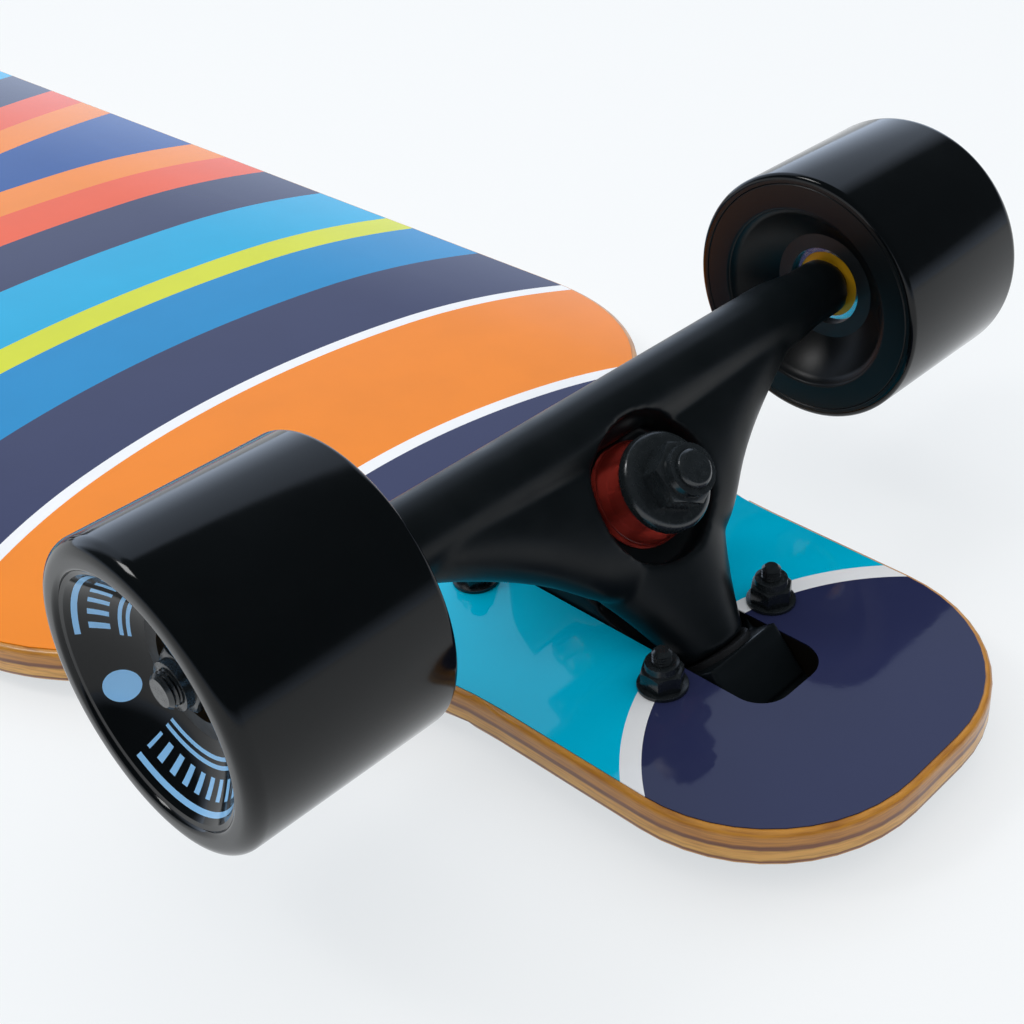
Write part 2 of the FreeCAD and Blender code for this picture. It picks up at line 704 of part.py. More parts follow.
bushing_bore = "places.kingpin_bore / 2"
roadside_bushing = turned("roadside_bushing", [
    (bushing_bore, "places.bushing_seat"),
    ("sizes.bushing_diameter / 2", "places.bushing_seat"),
    ("sizes.bushing_diameter / 2", "places.bushing_seat + sizes.bushing_lip"),
    ("sizes.bushing_tip_diameter / 2 + sizes.bushing_step",
     "places.bushing_seat + sizes.bushing_lip + sizes.bushing_bevel"),
    ("sizes.bushing_tip_diameter / 2", "places.washer_seat"),
    (bushing_bore, "places.washer_seat"),
])
boardside_bushing = turned("boardside_bushing", [
    (bushing_bore, "-places.washer_seat"),
    ("sizes.bushing_tip_diameter / 2", "-places.washer_seat"),
    ("sizes.bushing_diameter / 2", "-places.washer_seat + sizes.bushing_lip"),
    ("sizes.bushing_diameter / 2", "-places.bushing_seat - sizes.bushing_lip"),
    ("sizes.bushing_tip_diameter / 2", "-places.bushing_seat"),
    (bushing_bore, "-places.bushing_seat"),
])
washer_blank = tube("washer_blank", "sizes.washer_diameter", "places.kingpin_bore", "sizes.washer_thickness")
cup_washer = rounded("cup_washer", washer_blank,
                     (ring_at("sizes.washer_diameter", "sizes.washer_thickness"), "sizes.washer_round"))
roadside_washer = group("roadside_washer", [cup_washer], at(z="places.washer_seat"))
boardside_washer = group("boardside_washer", [cup_washer], at(z="-places.washer_seat", roll="180"))

# Pivot cup, in the pivot frame

pivot_cup = turned("pivot_cup", [
    ("0", "-places.cup_depth"),
    ("places.cup_outer / 2", "-places.cup_depth"),
    ("places.cup_outer / 2", "-sizes.cup_lip_thickness"),
    ("places.cup_lip / 2", "-sizes.cup_lip_thickness"),
    ("places.cup_lip / 2", "0"),
    ("places.cup_bore / 2", "0"),
    ("places.cup_bore / 2", "-places.cup_depth + sizes.cup_floor"),
    ("0", "-places.cup_depth + sizes.cup_floor"),
])


# Hanger, in the kingpin frame

def wing_section(name, y, reach):
    """An oval across the wing at a distance along the axle, from inside the tube to its reach."""
    chord = f"(({reach}) - places.wing_rear)"
    where = at(f"(({reach}) + places.wing_rear) / 2", y, f"sizes.axle_rake - {chord} / 2 * places.wing_slope",
               pitch="atan(places.wing_slope)", roll="90")
    return solid("Ellipse", name, where, MajorRadius=f"{chord} / 2",
                 MinorRadius=f"min(sizes.wing_thickness / 2; {WING_FULLNESS} * {chord} / 2)")


def wing():
    """The web that spreads from the ring to the tube, as one smooth skin over ovals."""
    stations = []
    for share in WING_SHARES:
        y = f"(places.ring_outer / 2 + {share} * (places.wing_span - places.ring_outer / 2))"
        fall = (1 - share) ** WING_SWEEP
        stations.append((y, f"places.tube_front + (sizes.wing_root - places.tube_front) * {fall:.4f}"))
    left = [(f"-{y}", reach) for y, reach in reversed(stations)]
    middle = [("0", "sizes.wing_root + sizes.ring_wall")]
    obj = doc.addObject("Part::Loft", "wing")
    obj.Sections = [wing_section(f"wing_section_{index}", y, reach)
                    for index, (y, reach) in enumerate(left + middle + stations)]
    obj.Solid = True
    return obj


def nose():
    """The neck from the ring down to the pivot, as one smooth skin over ovals."""
    sections = []
    for index, share in enumerate(NOSE_SHARES):
        spread = f"{share ** NOSE_SWEEP:.4f}"
        width = f"sizes.nose_tip_width * (1 - {spread}) + sizes.nose_root_width * {spread}"
        thick = f"sizes.nose_tip_thickness * (1 - {spread}) + sizes.nose_root_thickness * {spread}"
        x = f"sizes.pivot_reach - sizes.nose_gap - {share} * sizes.nose_length"
        sections.append(solid("Ellipse", f"nose_section_{index}",
                              at(x, z=f"sizes.nose_root_lift * {share}", yaw="90", roll="90"),
                              MajorRadius=f"({width}) / 2", MinorRadius=f"({thick}) / 2"))
    obj = doc.addObject("Part::Loft", "nose")
    obj.Sections = sections
    obj.Solid = True
    return obj


axle_place = at("-sizes.axle_setback", z="sizes.axle_rake", roll="-90")
tube_half = "sizes.hanger_width / 2 - sizes.tube_end_length - sizes.tube_taper_length"
tube_neck = "sizes.hanger_width / 2 - sizes.tube_end_length"
hanger_tube = turned("hanger_tube", [
    ("0", "-sizes.hanger_width / 2"),
    ("sizes.tube_end_diameter / 2", "-sizes.hanger_width / 2"),
    ("sizes.tube_end_diameter / 2", f"-({tube_neck})"),
    ("sizes.tube_diameter / 2", f"-({tube_half})"),
    ("sizes.tube_diameter / 2", tube_half),
    ("sizes.tube_end_diameter / 2", tube_neck),
    ("sizes.tube_end_diameter / 2", "sizes.hanger_width / 2"),
    ("0", "sizes.hanger_width / 2"),
], axle_place)
ring_low = "-sizes.ring_thickness / 2 - sizes.ring_skirt"
ring_boss = cylinder("ring_boss", "places.ring_outer", "sizes.ring_thickness + 2 * sizes.ring_skirt",
                     at(z=ring_low))
pivot_pin = cylinder("pivot_pin", "sizes.pivot_diameter", "sizes.pivot_length + sizes.nose_length / 2",
                     at("sizes.pivot_reach - sizes.nose_length / 2", pitch="90"))
hanger_body = join("hanger_body", hanger_tube, wing(), nose(), ring_boss, pivot_pin)
axle_sleeve = cylinder("axle_sleeve", "sizes.axle_diameter + 2 * sizes.axle_cover", "2 * sizes.hanger_width",
                       at("-sizes.axle_setback", "-sizes.hanger_width", "sizes.axle_rake", roll="-90"))
recess_round = cylinder("recess_round", "sizes.recess_diameter", "places.nut_top",
                        at(z="sizes.ring_thickness / 2"))
recess = cut("recess", recess_round, axle_sleeve)
lower_recess = cylinder("lower_recess", "sizes.lower_recess_diameter", "places.nut_top",
                        at(z="-sizes.ring_thickness / 2 - places.nut_top"))
ring_hole = cylinder("ring_hole", "sizes.ring_hole", "2 * sizes.ring_thickness",
                     at(z="-sizes.ring_thickness"))
axle_bore = cylinder("axle_bore", "sizes.axle_diameter + 2 * sizes.axle_clearance", "2 * sizes.hanger_width",
                     at("-sizes.axle_setback", "-sizes.hanger_width", "sizes.axle_rake", roll="-90"))
hanger = cut("hanger", hanger_body, recess, lower_recess, ring_hole, axle_bore, refine=False)

# Axle and what is threaded on it, in the axle frame

axle = turned("axle", [
    ("0", "-places.axle_half"),
    ("sizes.axle_diameter / 2 - sizes.thread_chamfer", "-places.axle_half"),
    ("sizes.axle_diameter / 2", "-places.axle_half + sizes.thread_chamfer"),
    ("sizes.axle_diameter / 2", "places.axle_half - sizes.thread_chamfer"),
    ("sizes.axle_diameter / 2 - sizes.thread_chamfer", "places.axle_half"),
    ("0", "places.axle_half"),
])
axle_hole = "sizes.axle_diameter + 2 * sizes.axle_clearance"
speed_ring = tube("speed_ring", "sizes.speed_ring_diameter", axle_hole, "sizes.speed_ring_thickness")
spacer = tube("spacer", "sizes.spacer_diameter", axle_hole, "sizes.spacer_length")
axle_nut = hex_nut("axle_nut", "sizes.axle_nut_flats", "sizes.axle_nut_height", "sizes.axle_nut_collar",
                   "sizes.axle_nut_collar_height", "sizes.axle_diameter")


def on_axle(name, piece, *starts):
    """A copy of a piece at each start along the axle, on both sides."""
    copies = []
    for index, start in enumerate(starts):
        copies.append(group(f"{name}_{index}_left", [piece], at(z=start)))
        copies.append(group(f"{name}_{index}_right", [piece], at(z=f"-({start})", roll="180")))
    return copies


# Bearings, each on its own Z axis with its lower face at zero

race = solid("Torus", "race", at(z="sizes.bearing_width / 2"), Radius1="sizes.ball_pitch_diameter / 2",
             Radius2="sizes.ball_diameter / 2 + sizes.ball_clearance")
inner_ring = cut("inner_ring",
                 cylinder("inner_ring_blank", "sizes.inner_ring_diameter", "sizes.bearing_width"),
                 cylinder("inner_ring_bore", axle_hole, "sizes.bearing_width"), race)
outer_ring = cut("outer_ring",
                 cylinder("outer_ring_blank", "sizes.bearing_diameter", "sizes.bearing_width"),
                 cylinder("outer_ring_hole", "sizes.outer_ring_bore", "sizes.bearing_width"), race)
shield = tube("shield", "sizes.outer_ring_bore", "sizes.inner_ring_diameter + 2 * sizes.shield_gap",
              "sizes.shield_thickness")
upper_shield = "sizes.bearing_width - sizes.shield_sink - sizes.shield_thickness"
shields = [group("shield_low", [shield], at(z="sizes.shield_sink")),
           group("shield_high", [shield], at(z=upper_shield))]


def ball_set():
    """The balls of one bearing and the cage that carries them, as one rolling piece."""
    balls = []
    for index in range(BALLS):
        angle = f"{360 * index / BALLS:.6f}"
        balls.append(solid("Sphere", f"ball_{index}",
                           at(f"sizes.ball_pitch_diameter / 2 * cos({angle})",
                              f"sizes.ball_pitch_diameter / 2 * sin({angle})", "sizes.bearing_width / 2",
                              yaw=angle),
                           Radius="sizes.ball_diameter / 2"))
    cage = tube("cage", "sizes.ball_pitch_diameter + sizes.cage_thickness",
                "sizes.ball_pitch_diameter - sizes.cage_thickness", "sizes.cage_thickness",
                at(z="(sizes.bearing_width - sizes.cage_thickness) / 2"))
    return fuse("ball_set", cage, *balls)


rolling_set = ball_set()

# Wheel, in the wheel frame

core_radius = "sizes.core_diameter / 2"
seat_1 = "sizes.core_setback + sizes.bearing_width"
seat_2 = "sizes.core_setback + sizes.bearing_width + sizes.spacer_length"
wheel_core = turned("wheel_core", [
    ("sizes.bearing_diameter / 2", "places.core_start"),
    (core_radius, "places.core_start"),
    (core_radius, "places.core_end"),
    ("sizes.bearing_diameter / 2", "places.core_end"),
    ("sizes.bearing_diameter / 2", seat_2),
    ("sizes.core_shoulder / 2", seat_2),
    ("sizes.core_shoulder / 2", seat_1),
    ("sizes.bearing_diameter / 2", seat_1),
])
bowl = solid("Sphere", "bowl", at(z="places.bowl_centre"), Radius="places.bowl_radius")
dish = solid("Sphere", "dish", at(z="sizes.wheel_width + places.dish_rise"), Radius="places.dish_radius")
tyre_blank = cut("tyre_blank", cylinder("tyre_round", "sizes.wheel_diameter", "sizes.wheel_width"),
                 cylinder("tyre_bore", "sizes.core_diameter", "sizes.wheel_width"), bowl, dish)
tyre = rounded("tyre", tyre_blank,
               (ring_at("sizes.wheel_diameter", "sizes.wheel_width"), "sizes.outer_lip_round"),
               (ring_at("sizes.wheel_diameter", "0"), "sizes.inner_lip_round"),
               (ring_at("sizes.bowl_diameter", "0"), "sizes.dish_round"),
               (ring_at("sizes.dish_diameter", "sizes.wheel_width"), "sizes.dish_round"))


def in_wheel(name, pieces):
    """Copies of a bearing's pieces at the wheel's two bearing seats."""
    return [group(f"{name}_1", pieces, at(z="sizes.core_setback")), group(f"{name}_2", pieces, at(z=seat_2))]


outer_ring_pair = in_wheel("outer_ring_at", [outer_ring])
shield_set = in_wheel("shields_at", shields)
ball_pair = in_wheel("ball_set_at", [rolling_set])

# Nodes

speed_ring_set = on_axle("speed_ring_at", speed_ring, "sizes.hanger_width / 2", "places.bearing_end")
inner_ring_set = on_axle("inner_ring_at", inner_ring, "places.bearing_1", "places.bearing_2")
TRUCK_NODES = {
    "baseplate": ([baseplate], truck_frame),
    "mounting_bolts": (four_of("bolt_at", bolt), truck_frame),
    "mounting_washers": (four_of("bolt_washer_at", bolt_washer, "places.deck_face"), truck_frame),
    "mounting_nuts": (four_of("bolt_nut_at", bolt_nut, nut_level), truck_frame),
    "pivot_cup": ([pivot_cup], pivot_frame),
    "kingpin": ([kingpin], kingpin_frame),
    "kingpin_nut": ([kingpin_nut], kingpin_frame),
    "roadside_washer": ([roadside_washer], kingpin_frame),
    "roadside_bushing": ([roadside_bushing], kingpin_frame),
    "boardside_bushing": ([boardside_bushing], kingpin_frame),
    "boardside_washer": ([boardside_washer], kingpin_frame),
    "hanger": ([hanger], kingpin_frame),
    "axle": ([axle], axle_frame),
    "speed_rings": (speed_ring_set, axle_frame),
    "bearing_inner_rings": (inner_ring_set, axle_frame),
    "bearing_spacers": (on_axle("spacer_at", spacer, "places.spacer_1"), axle_frame),
    "axle_nuts": (on_axle("axle_nut_at", axle_nut, "places.axle_nut_seat"), axle_frame),
}
WHEEL_NODES = {
    "tyre": [tyre],
    "wheel_core": [wheel_core],
    "bearing_outer_rings": outer_ring_pair,
    "bearing_shields": shield_set,
    "ball_sets": ball_pair,
}

nodes = [group("deck", [deck_board]), group("deck_print", [print_sheet]), group("grip_tape", [grip_sheet])]
for end in ENDS:
    nodes += [group(f"{end}_{label}", pieces, frame(end)) for label, (pieces, frame) in TRUCK_NODES.items()]
    for side in SIDES:
        nodes += [group(f"{end}_{side}_{label}", pieces, wheel_frame(end, side))
                  for label, pieces in WHEEL_NODES.items()]

doc.recompute()
for obj in doc.Objects:
    if "Invalid" in obj.State or "Error" in obj.State:
        raise RuntimeError(f"{obj.Label} did not recompute: {obj.State}")
for node in nodes:
    if node.Shape.isNull() or not node.Shape.isValid() or not node.Shape.Solids:
        raise RuntimeError(f"{node.Label} has no valid solid")

os.makedirs("parts", exist_ok=True)
for node in nodes:
    node.Shape.exportStep(os.path.join("parts", f"{node.Label}.step"))
    print(f"{node.Label}: {len(node.Shape.Solids)} solid(s), {node.Shape.Volume:.1f} cubic mm")
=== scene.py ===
"""Dresses the longboard's frame with its finishes, cast and turned pieces, floor, light and camera."""
import json
import logging
import math
from dataclasses import dataclass
from enum import Enum
from typing import Any, Sequence

import bpy
from mathutils import Matrix, Quaternion, Vector


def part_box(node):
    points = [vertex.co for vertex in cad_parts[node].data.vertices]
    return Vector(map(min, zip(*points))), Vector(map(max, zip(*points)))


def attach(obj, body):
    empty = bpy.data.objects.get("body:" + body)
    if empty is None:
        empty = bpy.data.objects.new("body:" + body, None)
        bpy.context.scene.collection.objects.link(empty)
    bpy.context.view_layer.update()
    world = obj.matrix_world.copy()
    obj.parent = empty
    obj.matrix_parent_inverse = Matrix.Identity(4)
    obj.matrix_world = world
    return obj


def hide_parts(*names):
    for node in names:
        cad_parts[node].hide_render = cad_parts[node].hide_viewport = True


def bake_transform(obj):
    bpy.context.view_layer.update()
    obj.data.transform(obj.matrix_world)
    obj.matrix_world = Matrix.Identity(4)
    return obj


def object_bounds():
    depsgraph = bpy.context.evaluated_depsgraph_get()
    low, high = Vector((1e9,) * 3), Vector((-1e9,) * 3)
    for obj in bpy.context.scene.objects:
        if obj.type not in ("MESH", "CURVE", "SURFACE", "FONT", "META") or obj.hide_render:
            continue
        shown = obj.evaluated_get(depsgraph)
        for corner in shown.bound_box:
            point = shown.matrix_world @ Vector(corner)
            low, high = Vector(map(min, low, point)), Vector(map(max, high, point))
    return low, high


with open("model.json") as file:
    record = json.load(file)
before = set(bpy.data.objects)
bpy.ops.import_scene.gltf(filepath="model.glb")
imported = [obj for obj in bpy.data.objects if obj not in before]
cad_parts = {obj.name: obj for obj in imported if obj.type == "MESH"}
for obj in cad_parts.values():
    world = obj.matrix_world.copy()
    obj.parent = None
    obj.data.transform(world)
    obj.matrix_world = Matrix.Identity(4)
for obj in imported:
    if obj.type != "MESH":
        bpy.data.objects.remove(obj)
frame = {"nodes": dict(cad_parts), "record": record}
CAD_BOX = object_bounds()
LOG = logging.getLogger("longboard")
MM = 0.001

Point = tuple[float, float]
Spot = tuple[float, float, float]
Stops = tuple[tuple[float, str], ...]
Tree = bpy.types.NodeTree
Node = bpy.types.Node
Socket = bpy.types.NodeSocket
Piece = bpy.types.Object


class End(Enum):
    """The board's two ends, each with a truck."""

    FRONT = "front"
    REAR = "rear"


class Side(Enum):
    """The two sides of a truck, each with a wheel, and their sign along Y."""

    LEFT = 1
    RIGHT = -1


class Work(Enum):
    """How a turned piece is closed."""

    BORED = "joined round an open bore"
    SOLID = "capped at both ends"


# Shader tools


# Numbers of a mix node's sockets, for colours and for plain values
COLOUR_A, COLOUR_B, COLOUR_OUT = 6, 7, 2
VALUE_A, VALUE_B, VALUE_OUT = 2, 3, 0
# The range that most of a noise texture's values lie in
NOISE_LOW, NOISE_HIGH = 0.3, 0.7


def linear(code: str) -> tuple[float, float, float, float]:
    """Turns an sRGB hex colour into linear light.

    Args:
        code: the colour as #rrggbb.

    Returns:
        Red, green, blue and full alpha.
    """
    parts = [int(code[k:k + 2], 16) / 255 for k in (1, 3, 5)]
    red, green, blue = (p / 12.92 if p <= 0.04045 else ((p + 0.055) / 1.055) ** 2.4 for p in parts)
    return red, green, blue, 1.0


def put(tree: Tree, kind: str, settings: dict[Any, Any] | None = None,
        links: dict[Any, Node | Socket] | None = None) -> Node:
    """Adds one shader node with its settings and the links that feed it.

    Args:
        tree: the tree that the node joins.
        kind: the node's type, without its prefix.
        settings: values by input name, input number or property; "stops" holds a ramp's colours.
        links: sockets, or nodes for their first output, by the name or number of the input that they feed.

    Returns:
        The new node.
    """
    node = tree.nodes.new(f"ShaderNode{kind}")
    for key, value in (settings or {}).items():
        if key == "stops":
            steps = node.color_ramp.elements
            while len(steps) < len(value):
                steps.new(1.0)
            for step, (position, code) in zip(steps, value):
                step.position = position
                step.color = linear(code)
        elif key == "interpolation":
            node.color_ramp.interpolation = value
        elif isinstance(key, int) or key in node.inputs:
            node.inputs[key].default_value = value
        else:
            setattr(node, key, value)
    for key, source in (links or {}).items():
        tree.links.new(source if isinstance(source, Socket) else source.outputs[0], node.inputs[key])
    return node


def per_metre(size: float) -> float:
    """The texture scale that gives features of a size in millimetres."""
    return 1.0 / (size * MM)


# Finishes


@dataclass(frozen=True)
class Finish:
    """A surface with faint blotches, a roughness that follows them and a fine relief.

    Lengths are millimetres and colours sRGB hex values.
    """

    name: str
    colour: str
    worn: str
    roughness: float
    spread: float = 0.06
    metallic: float = 0.0
    blotch: float = 9.0
    grain: float = 0.7
    relief: float = 0.008
    sockets: tuple[tuple[str, Any], ...] = ()

    def material(self) -> bpy.types.Material:
        """Makes the finish's material on its first use.

        Returns:
            The material.
        """
        made = bpy.data.materials.get(self.name)
        if made is None:
            made = bpy.data.materials.new(self.name)
            made.use_nodes = True
            tree = made.node_tree
            tree.nodes.clear()
            spot = put(tree, "TexCoord").outputs["Object"]
            settings = {"Metallic": self.metallic, **dict(self.sockets)}
            feeds = {"Base Color": self.tint(tree, spot), "Roughness": self.gloss(tree, spot),
                     "Normal": self.bumps(tree, spot)}
            shader = put(tree, "BsdfPrincipled", settings, feeds)
            put(tree, "OutputMaterial", {}, {"Surface": self.seen(tree, shader.outputs["BSDF"])})
        return made

    def seen(self, tree: Tree, lit: Socket) -> Socket:
        """What the eye gets: the lit surface as it is."""
        return lit

    def tint(self, tree: Tree, spot: Socket) -> Socket:
        """The colour, which drifts between clean and worn."""
        cloud = put(tree, "TexNoise", {"Scale": per_metre(self.blotch), "Detail": 5.0}, {"Vector": spot})
        ends = {COLOUR_A: linear(self.colour), COLOUR_B: linear(self.worn)}
        return put(tree, "Mix", {"data_type": "RGBA", **ends}, {0: cloud}).outputs[COLOUR_OUT]

    def gloss(self, tree: Tree, spot: Socket) -> Socket:
        """The roughness, a little uneven from handling."""
        cloud = put(tree, "TexNoise", {"Scale": per_metre(self.blotch / 2), "Detail": 6.0}, {"Vector": spot})
        return put(tree, "MapRange",
                   {"From Min": NOISE_LOW, "From Max": NOISE_HIGH, "To Min": self.roughness - self.spread,
                    "To Max": self.roughness + self.spread}, {"Value": cloud}).outputs["Result"]

    def bumps(self, tree: Tree, spot: Socket) -> Socket:
        """The normal, with the finish's fine relief."""
        grain = put(tree, "TexNoise", {"Scale": per_metre(self.grain), "Detail": 3.0}, {"Vector": spot})
        return put(tree, "Bump", {"Distance": self.relief * MM}, {"Height": grain}).outputs["Normal"]


@dataclass(frozen=True)
class PlywoodFinish(Finish):
    """Maple plywood, routed, sanded and clear-coated: gold plies with two stained brown ones between them.

    The plies follow the deck's concave, so they are drawn by the height above the deck's lower face.
    """

    lower_face: float = 7.5
    thickness: float = 9.5
    flat_half: float = 62.0
    bend_radius: float = 444.5
    wander: float = 0.4
    wander_size: float = 14.0
    fibre: float = 0.45
    fibre_depth: float = 0.6
    fibre_shades: Stops = ((0.30, "#a8865c"), (0.60, "#ffffff"))
    drawn_out: float = 0.05
    # Painted shade: the near-black colour given to the slot walls, which lie in shadow
    slot_shade: str = "#15120e"
    slot_half: float = 13.0
    slot_middle: float = 407.0
    slot_reach: float = 48.0
    plies: Stops = (
        (0.00, "#e2a544"), (0.13, "#e0a140"), (0.16, "#8a4e1e"), (0.20, "#8a4e1e"), (0.24, "#ecb45a"),
        (0.50, "#e6a94e"), (0.55, "#7a421a"), (0.63, "#82481c"), (0.68, "#c4832a"), (1.00, "#cc8c30"))

    def tint(self, tree: Tree, spot: Socket) -> Socket:
        """Bands by height that bend with the concave, fibres along the board, and painted shade, near black,
        on the slot walls.

        Args:
            tree: the material's tree.
            spot: the point.

        Returns:
            The colour.
        """
        axes = put(tree, "SeparateXYZ", {}, {"Vector": spot})
        across = put(tree, "Math", {"operation": "ABSOLUTE"}, {0: axes.outputs["Y"]})
        past = put(tree, "Math", {"operation": "SUBTRACT", 1: self.flat_half * MM, "use_clamp": True},
                   {0: across})
        square = put(tree, "Math", {"operation": "POWER", 1: 2.0}, {0: past})
        fall = put(tree, "Math", {"operation": "DIVIDE", 1: 2 * self.bend_radius * MM}, {0: square})
        level = put(tree, "Math", {"operation": "ADD"}, {0: axes.outputs["Z"], 1: fall})
        drift = put(tree, "TexNoise", {"Scale": per_metre(self.wander_size), "Detail": 3.0}, {"Vector": spot})
        sway = put(tree, "Math", {"operation": "MULTIPLY_ADD", 1: self.wander * MM}, {0: drift, 2: level})
        share = put(tree, "MapRange", {"From Min": self.lower_face * MM,
                                       "From Max": (self.lower_face + self.thickness) * MM}, {"Value": sway})
        bands = put(tree, "ValToRGB", {"stops": self.plies}, {"Fac": share})
        drawn = put(tree, "Mapping", {"Scale": (self.drawn_out, self.drawn_out, 1.0)}, {"Vector": spot})
        fibres = put(tree, "TexNoise", {"Scale": per_metre(self.fibre), "Detail": 4.0}, {"Vector": drawn})
        shade = put(tree, "ValToRGB", {"stops": self.fibre_shades}, {"Fac": fibres})
        wood = put(tree, "Mix", {"data_type": "RGBA", "blend_type": "MULTIPLY", 0: self.fibre_depth},
                   {COLOUR_A: bands, COLOUR_B: shade})
        # Painted shade: inside the slots through the deck, the wood is painted near black
        along = put(tree, "Math", {"operation": "ABSOLUTE"}, {0: axes.outputs["X"]})
        reach = {1: self.slot_middle * MM, 2: self.slot_reach * MM}
        near_slot = put(tree, "Math", {"operation": "COMPARE", **reach}, {0: along})
        within = put(tree, "Math", {"operation": "LESS_THAN", 1: self.slot_half * MM}, {0: across})
        slot = put(tree, "Math", {"operation": "MULTIPLY"}, {0: near_slot, 1: within})
        return put(tree, "Mix", {"data_type": "RGBA", COLOUR_B: linear(self.slot_shade)},
                   {0: slot, COLOUR_A: wood.outputs[COLOUR_OUT]}).outputs[COLOUR_OUT]


@dataclass(frozen=True)
class PrintFinish(Finish):
    """Screen-printed film under clear lacquer: flat inks in wide ripples round each nose, glossy as glass."""

    nose: float = 490.0
    reach: float = 620.0
    ripples: Stops = (
        (0, "#2b3052"), (64, "#f4f5f6"), (69, "#00bee2"), (141, "#f4f5f6"), (146, "#30355a"),
        (186, "#f4f5f6"), (191, "#f48804"), (254, "#f4f5f6"), (259, "#30355a"), (296, "#0088c4"),
        (330, "#d6dc1c"), (346, "#00aada"), (384, "#30355a"), (420, "#ee5a1e"), (447, "#f58a08"),
        (470, "#004a96"))
    fade_depth: float = 0.10
    fade_shades: Stops = ((0.30, "#b9bcc4"), (0.60, "#ffffff"))

    def tint(self, tree: Tree, spot: Socket) -> Socket:
        """Rings by the distance from the nearer nose, in inks that are a little uneven.

        Args:
            tree: the material's tree.
            spot: the point.

        Returns:
            The colour.
        """
        axes = put(tree, "SeparateXYZ", {}, {"Vector": spot})
        along = put(tree, "Math", {"operation": "ABSOLUTE"}, {0: axes.outputs["X"]})
        from_nose = put(tree, "Math", {"operation": "SUBTRACT", 1: self.nose * MM}, {0: along})
        flat = put(tree, "CombineXYZ", {}, {"X": from_nose, "Y": axes.outputs["Y"]})
        distance = put(tree, "VectorMath", {"operation": "LENGTH"}, {0: flat}).outputs["Value"]
        share = put(tree, "Math", {"operation": "DIVIDE", 1: self.reach * MM}, {0: distance})
        stops = [(start / self.reach, code) for start, code in self.ripples]
        inks = put(tree, "ValToRGB", {"stops": stops, "interpolation": "CONSTANT"}, {0: share})
        cloud = put(tree, "TexNoise", {"Scale": per_metre(self.blotch), "Detail": 6.0}, {"Vector": spot})
        fade = put(tree, "ValToRGB", {"stops": self.fade_shades}, {"Fac": cloud})
        return put(tree, "Mix", {"data_type": "RGBA", "blend_type": "MULTIPLY", 0: self.fade_depth},
                   {COLOUR_A: inks, COLOUR_B: fade}).outputs[COLOUR_OUT]


@dataclass(frozen=True)
class GripFinish(Finish):
    """Silicon carbide grit glued on film: matt black, with a few grains painted pale as glints."""

    # Painted glint: the pale grey given to the brightest few grains
    glint: str = "#6a6c70"
    worn_from: float = 0.80
    glint_from: float = 0.97

    def tint(self, tree: Tree, spot: Socket) -> Socket:
        """Black grains, with scattered pale ones that are painted glints.

        Args:
            tree: the material's tree.
            spot: the point.

        Returns:
            The colour.
        """
        grains = put(tree, "TexVoronoi", {"Scale": per_metre(self.grain)}, {"Vector": spot})
        stops = ((0.0, self.colour), (self.worn_from, self.worn), (self.glint_from, self.glint))
        return put(tree, "ValToRGB", {"stops": stops}, {"Fac": grains.outputs["Color"]}).outputs["Color"]

    def bumps(self, tree: Tree, spot: Socket) -> Socket:
        """The grains' own relief."""
        grains = put(tree, "TexVoronoi", {"Scale": per_metre(self.grain)}, {"Vector": spot})
        return put(tree, "Bump", {"Distance": self.relief * MM, "invert": True},
                   {"Height": grains.outputs["Distance"]}).outputs["Normal"]


